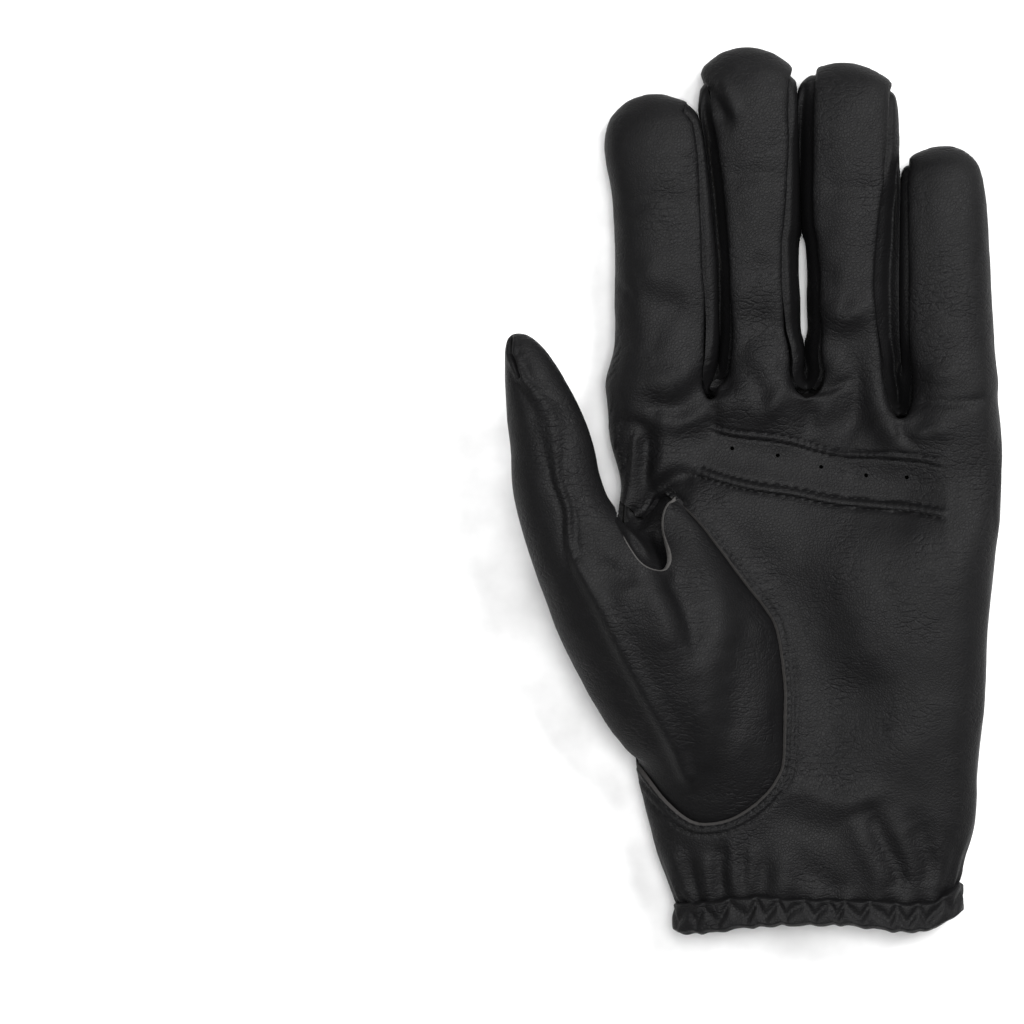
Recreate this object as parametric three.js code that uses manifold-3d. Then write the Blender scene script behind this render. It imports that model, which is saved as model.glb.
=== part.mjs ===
// Left-hand driving glove lying on its back, palm up, fingers along +Y and thumb towards -X.
// Millimetres, +Z up, the floor at z = 0. Each leather piece is one closed solid.
import * as THREE from "three";
import { mergeVertices } from "three/addons/utils/BufferGeometryUtils.js";
import Module from "manifold-3d";

// Driving sizes
const LEATHER = 1.4; // wall of every leather piece
const SEAM_GAP = 0.32; // clear space between two sewn pieces
const LAP = 0.5; // how far the thumb piece lies below the palm that laps over it
const POCKET_DEPTH = 3.0; // how far the thumb gusset is sunk
const HOLE_RADIUS = 0.6; // pierced vent holes
const HOLE_SIDES = 8;
const GUSSET_LAP = 1.6; // how far the gusset reaches under its neighbours
const GUSSET_BELOW = 1.2; // how far it reaches below the opening for the thumb
const FINGER_POWER = 2.3; // roundness of a finger section, 2 is an ellipse
const THUMB_POWER = 2.1;
const CUFF_TOP = -108.9; // where the panels end and the hem begins
const PANEL_END = -108.5;
const BROAD_FOLD = 9; // a fold that reaches at least this far shapes the inside too
const DENT_WIDENED = 1.6; // a smaller dent is this much wider on the inside
const LEAST_HALF = 0.6; // least half width and height of a hollow's section
const SIDE_OPENING_Z = 11.8; // lowest level of the opening for the thumb
const OPEN_END = 4; // how far a hollow runs past an open end
const END_CLEAR = 3; // no ring of the hand lies nearer to its open end
const FAR = 90; // cutting solids reach this far sideways

// Levels that cutting solids reach: under the floor, between palm and back, and over the part
const UNDER_FLOOR = -20;
const FLOOR_LEVEL = -5;
const MIDDLE_LEVEL = 15;
const TOP_LEVEL = 60;

// Fineness of the lofts: longest and least step, and points round a finger, the hand and the thumb
const OUTSIDE = { step: 9, least: 2.4, finger: 14, hand: 36, thumb: 16 };
const ROUND_STEPS = 480; // steps round a section before its points are spaced evenly
const INSIDE = { step: 16, least: 10, finger: 9, hand: 22, thumb: 12 };

// Sections of the fingers from the tip to the base: place of the centre, half width, half height
const INDEX = [
  { y: 105.2, x: -25.9, z: 8.0, w: 2.4, h: 1.8 },
  { y: 103.7, x: -25.5, z: 8.0, w: 6.9, h: 4.4 },
  { y: 100.5, x: -25.6, z: 8.1, w: 10.6, h: 6.8 },
  { y: 96.5, x: -26.3, z: 8.4, w: 12.1, h: 8.2 },
  { y: 90.0, x: -26.0, z: 8.8, w: 13.0, h: 9.2 },
  { y: 77.0, x: -24.1, z: 9.0, w: 12.8, h: 9.5 },
  { y: 63.7, x: -23.2, z: 9.2, w: 13.1, h: 9.7 },
  { y: 50.5, x: -22.9, z: 9.4, w: 13.5, h: 9.9 },
  { y: 40.0, x: -22.7, z: 9.7, w: 13.8, h: 10.2 },
  { y: 27.0, x: -24.3, z: 10.2, w: 14.6, h: 10.7 },
  { y: 15.4, x: -23.7, z: 10.8, w: 13.5, h: 10.9 },
  { y: 4.0, x: -22.6, z: 11.4, w: 11.8, h: 9.8 },
  { y: -6.0, x: -18.0, z: 11.8, w: 7.0, h: 6.6 },
];
const MIDDLE = [
  { y: 117.7, x: -1.0, z: 8.2, w: 2.4, h: 1.8 },
  { y: 116.2, x: -1.1, z: 8.2, w: 6.9, h: 4.4 },
  { y: 113.0, x: -1.1, z: 8.3, w: 11.0, h: 6.9 },
  { y: 109.6, x: -0.9, z: 8.6, w: 12.4, h: 8.1 },
  { y: 103.5, x: -0.7, z: 8.9, w: 12.8, h: 9.1 },
  { y: 90.2, x: 0.4, z: 9.1, w: 12.2, h: 9.4 },
  { y: 77.0, x: 1.3, z: 9.2, w: 11.7, h: 9.6 },
  { y: 63.7, x: 1.7, z: 9.3, w: 11.2, h: 9.7 },
  { y: 50.5, x: 2.3, z: 9.5, w: 11.0, h: 9.9 },
  { y: 37.2, x: 2.9, z: 9.8, w: 10.9, h: 10.2 },
  { y: 24.0, x: 2.8, z: 10.4, w: 10.8, h: 10.8 },
  { y: 8.0, x: 2.6, z: 11.2, w: 8.6, h: 8.4 },
];
const RING = [
  { y: 113.6, x: 24.2, z: 8.0, w: 2.4, h: 1.8 },
  { y: 112.4, x: 24.3, z: 8.0, w: 6.2, h: 4.2 },
  { y: 109.8, x: 25.0, z: 8.2, w: 10.4, h: 6.6 },
  { y: 106.4, x: 25.4, z: 8.5, w: 12.4, h: 8.0 },
  { y: 101.0, x: 25.8, z: 8.8, w: 13.1, h: 9.0 },
  { y: 90.2, x: 26.2, z: 9.0, w: 13.2, h: 9.4 },
  { y: 77.0, x: 26.1, z: 9.2, w: 12.8, h: 9.6 },
  { y: 63.7, x: 26.4, z: 9.3, w: 12.3, h: 9.7 },
  { y: 50.5, x: 26.4, z: 9.5, w: 12.2, h: 9.9 },
  { y: 37.2, x: 26.8, z: 9.8, w: 12.2, h: 10.2 },
  { y: 22.0, x: 27.0, z: 10.4, w: 11.8, h: 10.8 },
  { y: 6.0, x: 27.0, z: 11.2, w: 8.6, h: 8.4 },
];
const LITTLE = [
  { y: 91.4, x: 50.7, z: 7.8, w: 2.4, h: 1.8 },
  { y: 90.2, x: 50.6, z: 7.8, w: 5.6, h: 3.8 },
  { y: 87.6, x: 50.2, z: 8.0, w: 9.1, h: 6.2 },
  { y: 84.4, x: 50.4, z: 8.2, w: 10.4, h: 7.5 },
  { y: 79.0, x: 50.8, z: 8.5, w: 11.0, h: 8.5 },
  { y: 71.7, x: 51.2, z: 8.7, w: 11.3, h: 9.0 },
  { y: 61.1, x: 51.5, z: 8.9, w: 11.6, h: 9.3 },
  { y: 50.5, x: 51.7, z: 9.2, w: 11.8, h: 9.6 },
  { y: 40.0, x: 52.1, z: 9.6, w: 12.2, h: 10.0 },
  { y: 29.3, x: 52.7, z: 10.0, w: 12.6, h: 10.4 },
  { y: 15.4, x: 53.3, z: 10.7, w: 12.8, h: 10.7 },
  { y: 4.0, x: 53.2, z: 11.4, w: 12.2, h: 9.8 },
  { y: -6.0, x: 48.0, z: 11.8, w: 7.0, h: 6.6 },
];

// Sections of the hand from the knuckles to the wrist; a higher power makes squarer corners
const HAND = [
  { y: 28.6, x: 14.2, z: 9.6, w: 47.0, h: 7.2, power: 3.0 },
  { y: 27.2, x: 14.2, z: 10.2, w: 51.2, h: 9.8, power: 3.3 },
  { y: 22.0, x: 14.0, z: 10.9, w: 52.0, h: 11.4, power: 3.4 },
  { y: 14.4, x: 14.4, z: 11.4, w: 51.8, h: 12.0, power: 3.3 },
  { y: 1.7, x: 15.8, z: 11.9, w: 50.4, h: 12.4, power: 3.1 },
  { y: -7.8, x: 15.1, z: 12.1, w: 50.6, h: 12.6, power: 3.0 },
  { y: -18.4, x: 15.3, z: 12.2, w: 49.1, h: 12.7, power: 2.9 },
  { y: -34.3, x: 15.5, z: 12.2, w: 47.3, h: 12.7, power: 2.8 },
  { y: -55.5, x: 15.6, z: 12.0, w: 46.1, h: 12.5, power: 2.7 },
  { y: -72.5, x: 14.7, z: 11.6, w: 45.2, h: 12.0, power: 2.6 },
  { y: -82.0, x: 15.5, z: 11.2, w: 44.1, h: 11.6, power: 2.6 },
  { y: -90.0, x: 16.1, z: 10.9, w: 42.6, h: 11.2, power: 2.6 },
  { y: -98.0, x: 16.0, z: 10.6, w: 40.4, h: 10.9, power: 2.6 },
  { y: -104.3, x: 16.7, z: 10.4, w: 38.6, h: 10.6, power: 2.6 },
  { y: -111.0, x: 17.6, z: 10.3, w: 37.4, h: 10.5, power: 2.6 },
];

// Where the web between two fingers lies, along the row of knuckles
const KNUCKLES = [
  { x: -38.0, y: 24.0 },
  { x: -11.0, y: 27.4 },
  { x: 14.8, y: 29.2 },
  { x: 39.4, y: 22.0 },
  { x: 65.0, y: 20.0 },
];

// Sections of the thumb from its tip down into the ball of the hand, square to its own path
const THUMB = [
  { x: -63.2, y: 41.4, z: 26.0, left: 1.8, right: 1.8, h: 1.8 },
  { x: -62.5, y: 39.6, z: 26.0, left: 3.8, right: 4.0, h: 4.2 },
  { x: -60.7, y: 35.4, z: 26.0, left: 6.0, right: 6.4, h: 6.2 },
  { x: -58.4, y: 30.0, z: 26.0, left: 7.9, right: 7.9, h: 7.6 },
  { x: -55.4, y: 20.8, z: 26.0, left: 10.1, right: 9.9, h: 8.9 },
  { x: -53.0, y: 11.3, z: 26.0, left: 11.2, right: 11.1, h: 9.6 },
  { x: -51.6, y: 1.7, z: 25.8, left: 12.0, right: 11.4, h: 10.2 },
  { x: -48.6, y: -7.8, z: 25.4, left: 12.7, right: 12.2, h: 10.7 },
  { x: -42.9, y: -18.4, z: 24.8, left: 14.9, right: 15.0, h: 11.2 },
  { x: -35.0, y: -31.1, z: 23.2, left: 18.1, right: 19.0, h: 10.2 },
  { x: -27.0, y: -42.3, z: 21.8, left: 20.2, right: 22.0, h: 9.2 },
  { x: -19.1, y: -52.9, z: 20.4, left: 21.2, right: 21.0, h: 7.8 },
  { x: -12.5, y: -62.6, z: 18.0, left: 19.2, right: 15.0, h: 6.0 },
  { x: -7.2, y: -70.6, z: 15.6, left: 12.5, right: 8.0, h: 3.4 },
];

// Seams of the finger fronts, left and right of each finger, from the tip to the web
const INDEX_SEAM = [
  { y: 102.0, x: -15.8 },
  { y: 97.7, x: -15.6 },
  { y: 88.9, x: -14.6 },
  { y: 71.7, x: -13.6 },
  { y: 53.1, x: -12.7 },
  { y: 27.5, x: -12.6 },
];
const MIDDLE_LEFT_SEAM = [
  { y: 27.0, x: -6.2 },
  { y: 34.6, x: -5.8 },
  { y: 43.9, x: -5.0 },
  { y: 60.0, x: -5.4 },
  { y: 80.0, x: -6.2 },
  { y: 100.6, x: -8.0 },
  { y: 110.0, x: -10.8 },
  { y: 112.8, x: -13.6 },
];
const MIDDLE_RIGHT_SEAM = [
  { y: 112.4, x: 11.8 },
  { y: 108.6, x: 10.2 },
  { y: 101.9, x: 9.6 },
  { y: 81.5, x: 9.2 },
  { y: 60.6, x: 8.6 },
  { y: 40.1, x: 10.1 },
  { y: 29.0, x: 11.4 },
];
const RING_LEFT_SEAM = [
  { y: 28.6, x: 18.2 },
  { y: 38.3, x: 17.4 },
  { y: 50.7, x: 19.4 },
  { y: 60.6, x: 18.6 },
  { y: 77.8, x: 16.6 },
  { y: 98.4, x: 15.4 },
  { y: 107.6, x: 15.9 },
  { y: 112.8, x: 16.6 },
];
const RING_RIGHT_SEAM = [
  { y: 108.8, x: 38.0 },
  { y: 105.0, x: 36.8 },
  { y: 97.9, x: 36.6 },
  { y: 81.2, x: 35.0 },
  { y: 53.1, x: 33.0 },
  { y: 32.7, x: 35.0 },
  { y: 21.8, x: 36.4 },
];
const LITTLE_LEFT_SEAM = [
  { y: 21.6, x: 43.0 },
  { y: 37.2, x: 42.4 },
  { y: 61.0, x: 42.2 },
  { y: 83.0, x: 42.0 },
  { y: 89.6, x: 41.6 },
];

// The forked strips between the fingers: down one seam, round the web, up the next, past the tips
const FORKS = [
  {
    name: "fourchette_index_middle",
    outline: [
      ...INDEX_SEAM,
      { x: -11.0, y: 24.4 },
      { x: -7.8, y: 24.4 },
      ...MIDDLE_LEFT_SEAM,
      { x: -13.0, y: 124 },
    ],
  },
  {
    name: "fourchette_middle_ring",
    outline: [
      ...MIDDLE_RIGHT_SEAM,
      { x: 12.8, y: 26.0 },
      { x: 16.8, y: 26.0 },
      ...RING_LEFT_SEAM,
      { x: 12.6, y: 124 },
    ],
  },
  {
    name: "fourchette_ring_little",
    outline: [
      ...RING_RIGHT_SEAM,
      { x: 37.8, y: 18.8 },
      { x: 41.2, y: 18.6 },
      ...LITTLE_LEFT_SEAM,
      { x: 39.2, y: 124 },
    ],
  },
];

// Cut edge of the opening in the palm: the teardrop from its upper point round to the left side
const TEARDROP = [
  { x: -21.5, y: -2.0 },
  { x: -15.9, y: -6.8 },
  { x: -8.0, y: -15.5 },
  { x: 0.3, y: -26.1 },
  { x: 4.4, y: -31.4 },
  { x: 7.0, y: -36.6 },
  { x: 9.0, y: -48.6 },
  { x: 9.4, y: -57.0 },
  { x: 8.5, y: -71.2 },
  { x: 6.4, y: -76.5 },
  { x: 3.4, y: -80.4 },
  { x: -0.8, y: -84.0 },
  { x: -5.8, y: -86.8 },
  { x: -11.1, y: -88.0 },
  { x: -16.2, y: -87.4 },
  { x: -22.5, y: -82.5 },
  { x: -30.3, y: -72.7 },
];
// The free space between thumb and index, from the tips down to the foot of the notch
const THUMB_GAP = [
  { x: -44.0, y: 60.0 },
  { x: -42.6, y: 27.0 },
  { x: -37.9, y: 5.0 },
  { x: -36.6, y: -2.0 },
  { x: -35.9, y: -8.1 },
];
// Edge of the thumb piece round the sunk gusset, from the foot of the notch up to the teardrop's point
const POCKET_EDGE = [
  { x: -33.7, y: -12.9 },
  { x: -28.6, y: -19.2 },
  { x: -22.5, y: -19.7 },
  { x: -23.6, y: -13.1 },
  { x: -24.4, y: -9.4 },
  { x: -23.4, y: -4.6 },
];
// Edge of the palm above the gusset, from the teardrop's point back to the foot of the notch
const POCKET_TOP = [
  { x: -26.5, y: -0.6 },
  { x: -33.7, y: -0.7 },
  { x: -37.0, y: -3.0 },
];

// Folds and dents of the upper side: a line from (x1, y1) to (x2, y2), its reach and its height
const FOLDS = [
  { name: "crease over the index base", x1: -12.0, y1: 27.0, x2: -25.0, y2: 21.5, reach: 2.6, height: -1.5 },
  { name: "roll above that crease", x1: -13.0, y1: 32.5, x2: -28.0, y2: 27.5, reach: 3.6, height: 0.9 },
  { name: "roll along the index edge", x1: -31.0, y1: 13.0, x2: -33.0, y2: 0.0, reach: 2.8, height: 1.3 },
  { name: "dent of the index", x1: -29.0, y1: 54.0, x2: -18.0, y2: 47.5, reach: 3.4, height: -1.2 },
  { name: "bulge of the index", x1: -29.0, y1: 40.0, x2: -17.0, y2: 39.0, reach: 5.0, height: 0.8 },
  { name: "upper bend of the index", x1: -32.0, y1: 76.0, x2: -18.0, y2: 77.0, reach: 2.6, height: -0.8 },
  { name: "upper bend of the middle", x1: -6.0, y1: 82.0, x2: 8.0, y2: 83.0, reach: 2.6, height: -0.8 },
  { name: "dent of the middle", x1: 0.0, y1: 59.5, x2: 7.0, y2: 45.0, reach: 3.4, height: -1.2 },
  { name: "bulge of the middle", x1: -1.0, y1: 36.5, x2: 6.0, y2: 36.0, reach: 4.0, height: 1.0 },
  { name: "ridge under the middle", x1: 9.0, y1: 26.0, x2: 2.4, y2: 18.4, reach: 2.6, height: 1.3 },
  { name: "upper bend of the ring", x1: 19.0, y1: 80.0, x2: 33.0, y2: 79.0, reach: 2.6, height: -0.8 },
  { name: "bulge of the ring", x1: 22.0, y1: 46.0, x2: 29.0, y2: 45.0, reach: 4.2, height: 0.9 },
  { name: "dark valley left of the ring", x1: 15.0, y1: 28.0, x2: 15.5, y2: 20.0, reach: 2.6, height: -1.5 },
  { name: "dark valley right of the ring", x1: 28.0, y1: 28.5, x2: 28.5, y2: 20.0, reach: 2.6, height: -1.2 },
  { name: "crease over the little base", x1: 47.0, y1: 23.8, x2: 64.0, y2: 23.8, reach: 2.6, height: -1.4 },
  { name: "fold under the little", x1: 42.0, y1: 13.0, x2: 50.0, y2: 15.0, reach: 2.4, height: 0.9 },
  { name: "hollow of the palm", x1: 14.0, y1: -16.0, x2: 18.0, y2: -60.0, reach: 16.0, height: -2.6 },
  { name: "heel at the little side", x1: 46.0, y1: -20.0, x2: 44.0, y2: -66.0, reach: 12.0, height: 1.6 },
  { name: "ball of the thumb", x1: -24.0, y1: -32.0, x2: -10.0, y2: -61.0, reach: 17.0, height: 8.0 },
  { name: "valley on the thumb ball", x1: -21.0, y1: -22.0, x2: -15.4, y2: -41.0, reach: 3.6, height: -2.2 },
  { name: "closing seam of the thumb", x1: -56.4, y1: 24.6, x2: -52.2, y2: 5.4, reach: 1.6, height: 1.0 },
  { name: "closing seam, middle part", x1: -52.2, y1: 5.4, x2: -47.4, y2: -18.0, reach: 1.8, height: 1.0 },
  { name: "closing seam, lower part", x1: -47.4, y1: -18.0, x2: -27.6, y2: -50.0, reach: 2.0, height: 1.2 },
  { name: "pucker of the thumb, upper", x1: -57.0, y1: 17.6, x2: -51.0, y2: 16.2, reach: 1.5, height: 0.8 },
  { name: "pucker of the thumb, lower", x1: -56.0, y1: 11.6, x2: -50.0, y2: 10.2, reach: 1.5, height: 0.8 },
  { name: "drape left of the wrist", x1: -12.0, y1: -90.0, x2: -8.0, y2: -107.0, reach: 2.6, height: 1.1 },
  { name: "drape of the wrist 2", x1: -2.0, y1: -92.0, x2: 0.0, y2: -108.0, reach: 2.4, height: -1.0 },
  { name: "drape of the wrist 3", x1: 9.0, y1: -94.0, x2: 8.0, y2: -108.0, reach: 2.6, height: 1.0 },
  { name: "drape of the wrist 4", x1: 19.0, y1: -95.0, x2: 18.0, y2: -108.0, reach: 2.4, height: -0.9 },
  { name: "slant fold at the wrist", x1: 26.0, y1: -90.0, x2: 34.0, y2: -106.0, reach: 2.8, height: 1.1 },
  { name: "second slant fold", x1: 38.0, y1: -91.0, x2: 46.0, y2: -106.0, reach: 2.6, height: -1.0 },
];

// The two raised welts across the palm, and the vent holes between them
const UPPER_WELT = [
  { x: -13.5, y: 18.9 },
  { x: -6.6, y: 16.0 },
  { x: 8.0, y: 13.9 },
  { x: 21.5, y: 10.5 },
  { x: 35.0, y: 9.8 },
  { x: 45.8, y: 8.6 },
  { x: 53.0, y: 6.5 },
];
const LOWER_WELT = [
  { x: -17.2, y: 6.2 },
  { x: -8.8, y: 3.6 },
  { x: 0.0, y: 1.2 },
  { x: 10.9, y: -0.8 },
  { x: 21.5, y: -3.0 },
  { x: 35.0, y: -3.8 },
  { x: 43.2, y: -4.3 },
  { x: 52.4, y: -6.2 },
];
const WELT = { upperRadius: 0.9, lowerRadius: 1.25, endShare: 0.4, sunk: 0.15, sides: 6, step: 4 };
const VENT_HOLES = [
  { x: -5.5, y: 11.7 },
  { x: 6.8, y: 9.6 },
  { x: 18.2, y: 6.3 },
  { x: 30.1, y: 4.3 },
  { x: 41.2, y: 3.9 },
];

// Height of the side seam between palm and back
const SIDE_SEAM = [
  { y: 125.0, z: 8.4 },
  { y: 40.0, z: 9.0 },
  { y: 12.0, z: 9.5 },
  { y: -125.0, z: 9.5 },
];

// Lower edge of the cuff, and rings of the hem from the seam to that edge
const CUFF_EDGE = [
  { x: -22.0, y: -117.1 },
  { x: -16.0, y: -117.7 },
  { x: 2.0, y: -115.7 },
  { x: 24.0, y: -115.4 },
  { x: 40.0, y: -117.2 },
  { x: 50.0, y: -115.9 },
  { x: 57.0, y: -113.1 },
];
const HEM_RINGS = [
  { along: 0.0, out: 0.0, gather: 0.3 },
  { along: 0.14, out: 0.9, gather: 1.0 },
  { along: 0.8, out: 1.0, gather: 1.0 },
  { along: 1.0, out: 0.1, gather: 0.3 },
];
const HEM = { underWall: 1.8, inside: -1.4, insideSides: 24, openEnd: 3 };
const GATHERS = { count: 27, depth: 0.55, pointsEach: 3 };

// Share of the folds that reaches the sides of a section, as parts of its half height
const FOLD_SHARE = { from: 0.15, over: 0.6 };
// The hand's rings bend to the line of knuckles between these places along Y
const WEB_BEND = { from: 2, full: 26 };
const MITER_LIMIT = 2;

// Colour and roughness of each piece
const FINISH = {
  palm_panel: { color: 0x2a2a2c, roughness: 0.55 },
  back_panel: { color: 0x262628, roughness: 0.55 },
  fourchette: { color: 0x202022, roughness: 0.6 },
  thumb: { color: 0x2c2c2e, roughness: 0.55 },
  thumb_gusset: { color: 0x1c1c1e, roughness: 0.65 },
  cuff_hem: { color: 0x28282a, roughness: 0.6 },
};

const wasm = await Module();
wasm.setup();

// Reads one column of a table at a place along another, straight between its rows
function lookUp(table, key, column, value) {
  const rows = [...table].sort((a, b) => a[key] - b[key]);
  if (value <= rows[0][key]) {
    return rows[0][column];
  }
  for (let i = 1; i < rows.length; i += 1) {
    const low = rows[i - 1];
    const high = rows[i];
    if (value <= high[key]) {
      const t = (value - low[key]) / (high[key] - low[key]);
      return low[column] + (high[column] - low[column]) * t;
    }
  }
  return rows[rows.length - 1][column];
}

// Adds smooth rows between the rows of a section table
function refine(table, longest) {
  const rows = [];
  const keys = Object.keys(table[0]);
  for (let i = 0; i + 1 < table.length; i += 1) {
    const last = table.length - 1;
    const around = [i - 1, i, i + 1, i + 2].map((k) => table[Math.min(Math.max(k, 0), last)]);
    const reach = Math.hypot(around[2].x - around[1].x, around[2].y - around[1].y);
    const steps = Math.max(1, Math.round(reach / longest));
    for (let s = 0; s < steps; s += 1) {
      const t = s / steps;
      const row = {};
      for (const key of keys) {
        const [p0, p1, p2, p3] = around.map((r) => r[key]);
        const curve = 2 * p1 + (p2 - p0) * t + (2 * p0 - 5 * p1 + 4 * p2 - p3) * t * t;
        row[key] = 0.5 * (curve + (3 * p1 - p0 - 3 * p2 + p3) * t * t * t);
      }
      rows.push(row);
    }
  }
  rows.push({ ...table[table.length - 1] });
  return rows;
}

// Height that the folds add at a place on the upper side. The inside follows the broad forms and
// gives way to the dents, and the small raised folds are thicker leather.
function relief(x, y, inset) {
  let sum = 0;
  for (const fold of FOLDS) {
    if (inset > 1 && fold.height > 0 && fold.reach < BROAD_FOLD) {
      continue;
    }
    const dx = fold.x2 - fold.x1;
    const dy = fold.y2 - fold.y1;
    const t = Math.min(1, Math.max(0, ((x - fold.x1) * dx + (y - fold.y1) * dy) / (dx * dx + dy * dy)));
    const widened = inset > 1 && fold.reach < BROAD_FOLD ? DENT_WIDENED : 1;
    const away = Math.hypot(x - fold.x1 - dx * t, y - fold.y1 - dy * t) / (fold.reach * widened);
    sum += fold.height * Math.exp(-away * away);
  }
  return sum;
}

// Points of a rounded section, evenly spaced round it: side runs across, up is the height
function section(left, right, h, power, count) {
  const fine = [{ side: right, up: 0, run: 0 }];
  for (let i = 1; i <= ROUND_STEPS; i += 1) {
    const c = Math.cos((i / ROUND_STEPS) * 2 * Math.PI);
    const s = Math.sin((i / ROUND_STEPS) * 2 * Math.PI);
    const side = (c < 0 ? left : right) * Math.sign(c) * Math.abs(c) ** (2 / power);
    const up = h * Math.sign(s) * Math.abs(s) ** (2 / power);
    const last = fine[fine.length - 1];
    fine.push({ side, up, run: last.run + Math.hypot(side - last.side, up - last.up) });
  }
  const points = [];
  let k = 1;
  for (let i = 0; i < count; i += 1) {
    const run = (i / count) * fine[ROUND_STEPS].run;
    while (fine[k].run < run) {
      k += 1;
    }
    const t = (run - fine[k - 1].run) / (fine[k].run - fine[k - 1].run);
    const side = fine[k - 1].side + (fine[k].side - fine[k - 1].side) * t;
    const up = fine[k - 1].up + (fine[k].up - fine[k - 1].up) * t;
    points.push({ side, up });
  }
  return points;
}

// Share of the folds that reaches a point: all of it on top, none at the sides and below
function topShare(v) {
  return THREE.MathUtils.smoothstep(v, FOLD_SHARE.from, FOLD_SHARE.from + FOLD_SHARE.over);
}

// Ring of a finger or hand section, square to Y, flattened where it rests on the floor
function crossRing(row, inset, count) {
  const w = Math.max(row.w - inset, LEAST_HALF);
  const h = Math.max(row.h - inset, LEAST_HALF);
  return section(w, w, h, row.power ?? FINGER_POWER, count).map(({ side, up }) => {
    const x = row.x + side;
    const lift = relief(x, row.y, inset) * topShare(up / h);
    return new THREE.Vector3(x, row.y, Math.max(row.z + up + lift, inset));
  });
}

// Closed solid through rings of equal count, with a fan over each end
function loft(rings) {
  const count = rings[0].length;
  const points = rings.flat();
  const faces = [];
  for (let r = 0; r + 1 < rings.length; r += 1) {
    for (let i = 0; i < count; i += 1) {
      const a = r * count + i;
      const b = r * count + ((i + 1) % count);
      faces.push(a, b, b + count, a, b + count, a + count);
    }
  }
  for (const end of [0, rings.length - 1]) {
    const middle = new THREE.Vector3();
    rings[end].forEach((p) => middle.addScaledVector(p, 1 / count));
    const hub = points.push(middle) - 1;
    for (let i = 0; i < count; i += 1) {
      const a = end * count + i;
      const b = end * count + ((i + 1) % count);
      faces.push(...(end === 0 ? [b, a, hub] : [a, b, hub]));
    }
  }
  return solidFrom(points, faces);
}

// Manifold solid from points and faces, turned outwards if need be
function solidFrom(points, faces) {
  const flat = new Float32Array(points.flatMap((p) => [p.x, p.y, p.z]));
  let volume = 0;
  for (let i = 0; i < faces.length; i += 3) {
    const [a, b, c] = [points[faces[i]], points[faces[i + 1]], points[faces[i + 2]]];
    volume += a.dot(new THREE.Vector3().crossVectors(b, c));
  }
  const turned = new Uint32Array(faces);
  if (volume < 0) {
    for (let i = 0; i < faces.length; i += 3) {
      turned[i + 1] = faces[i + 2];
      turned[i + 2] = faces[i + 1];
    }
  }
  return new wasm.Manifold(new wasm.Mesh({ numProp: 3, vertProperties: flat, triVerts: turned }));
}

// Upright prism over an outline in the XY plane
function prism(outline, bottom, top) {
  const shape = new THREE.Shape(outline.map((p) => new THREE.Vector2(p.x, p.y)));
  const geometry = new THREE.ExtrudeGeometry(shape, { depth: top - bottom, bevelEnabled: false });
  geometry.deleteAttribute("normal");
  geometry.deleteAttribute("uv");
  geometry.translate(0, 0, bottom);
  const merged = mergeVertices(geometry, 1e-4);
  const position = merged.getAttribute("position");
  const points = [];
  for (let i = 0; i < position.count; i += 1) {
    points.push(new THREE.Vector3().fromBufferAttribute(position, i));
  }
  return solidFrom(points, Array.from(merged.index.array));
}

// Outline moved outwards by a distance, or inwards by a negative one
function grow(outline, distance) {
  let area = 0;
  outline.forEach((p, i) => {
    const q = outline[(i + 1) % outline.length];
    area += p.x * q.y - q.x * p.y;
  });
  const turn = Math.sign(area);
  return outline.map((p, i) => {
    const before = outline[(i + outline.length - 1) % outline.length];
    const after = outline[(i + 1) % outline.length];
    const a = new THREE.Vector2(p.y - before.y, before.x - p.x).normalize();
    const b = new THREE.Vector2(after.y - p.y, p.x - after.x).normalize();
    const out = a.clone().add(b).normalize();
    const stretch = 1 / Math.max(out.dot(a), 1 / MITER_LIMIT);
    return { x: p.x + out.x * distance * stretch * turn, y: p.y + out.y * distance * stretch * turn };
  });
}

// Everything below the side seam, moved up or down by a distance
function belowSeam(shift) {
  return loft(SIDE_SEAM.map((row) => [
    new THREE.Vector3(-FAR, row.y, UNDER_FLOOR),
    new THREE.Vector3(-FAR, row.y, row.z + shift),
    new THREE.Vector3(FAR, row.y, row.z + shift),
    new THREE.Vector3(FAR, row.y, UNDER_FLOOR),
  ]));
}

function union(...solids) {
  return solids.reduce((all, one) => all.add(one));
}

// Leaves out rows that lie too close behind the one before; the rounded end keeps more of them
function spaced(rows, fineness) {
  const kept = [rows[0]];
  for (const row of rows.slice(1, -1)) {
    const last = kept[kept.length - 1];
    const least = kept.length > 2 ? fineness.least : 1;
    if (Math.hypot(row.x - last.x, row.y - last.y) >= least) {
      kept.push(row);
    }
  }
  kept.push(rows[rows.length - 1]);
  return kept;
}

function fingerSolid(table, inset, fineness) {
  const rows = refine(table, fineness.step);
  const tip = { ...rows[0], y: rows[0].y - inset };
  const kept = spaced([tip, ...rows.slice(1).filter((row) => row.y < tip.y)], fineness);
  return loft(kept.map((row) => crossRing(row, inset, fineness.finger)));
}

function handSolid(inset, fineness, end) {
  const rows = refine(HAND, fineness.step);
  const first = { ...rows[0], y: rows[0].y - inset };
  const between = rows.slice(1).filter((row) => row.y < first.y && row.y > end + END_CLEAR);
  const kept = spaced([first, ...between, { ...rows[rows.length - 1], y: end }], fineness);
  const web = (x, y) => {
    const share = THREE.MathUtils.smoothstep(y, WEB_BEND.from, WEB_BEND.full);
    return (lookUp(KNUCKLES, "x", "y", x) - HAND[0].y) * share;
  };
  const rings = kept.map((row) => {
    const ring = crossRing(row, inset, fineness.hand);
    ring.forEach((p) => {
      p.y += web(p.x, p.y);
    });
    return ring;
  });
  return loft(rings);
}

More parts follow.
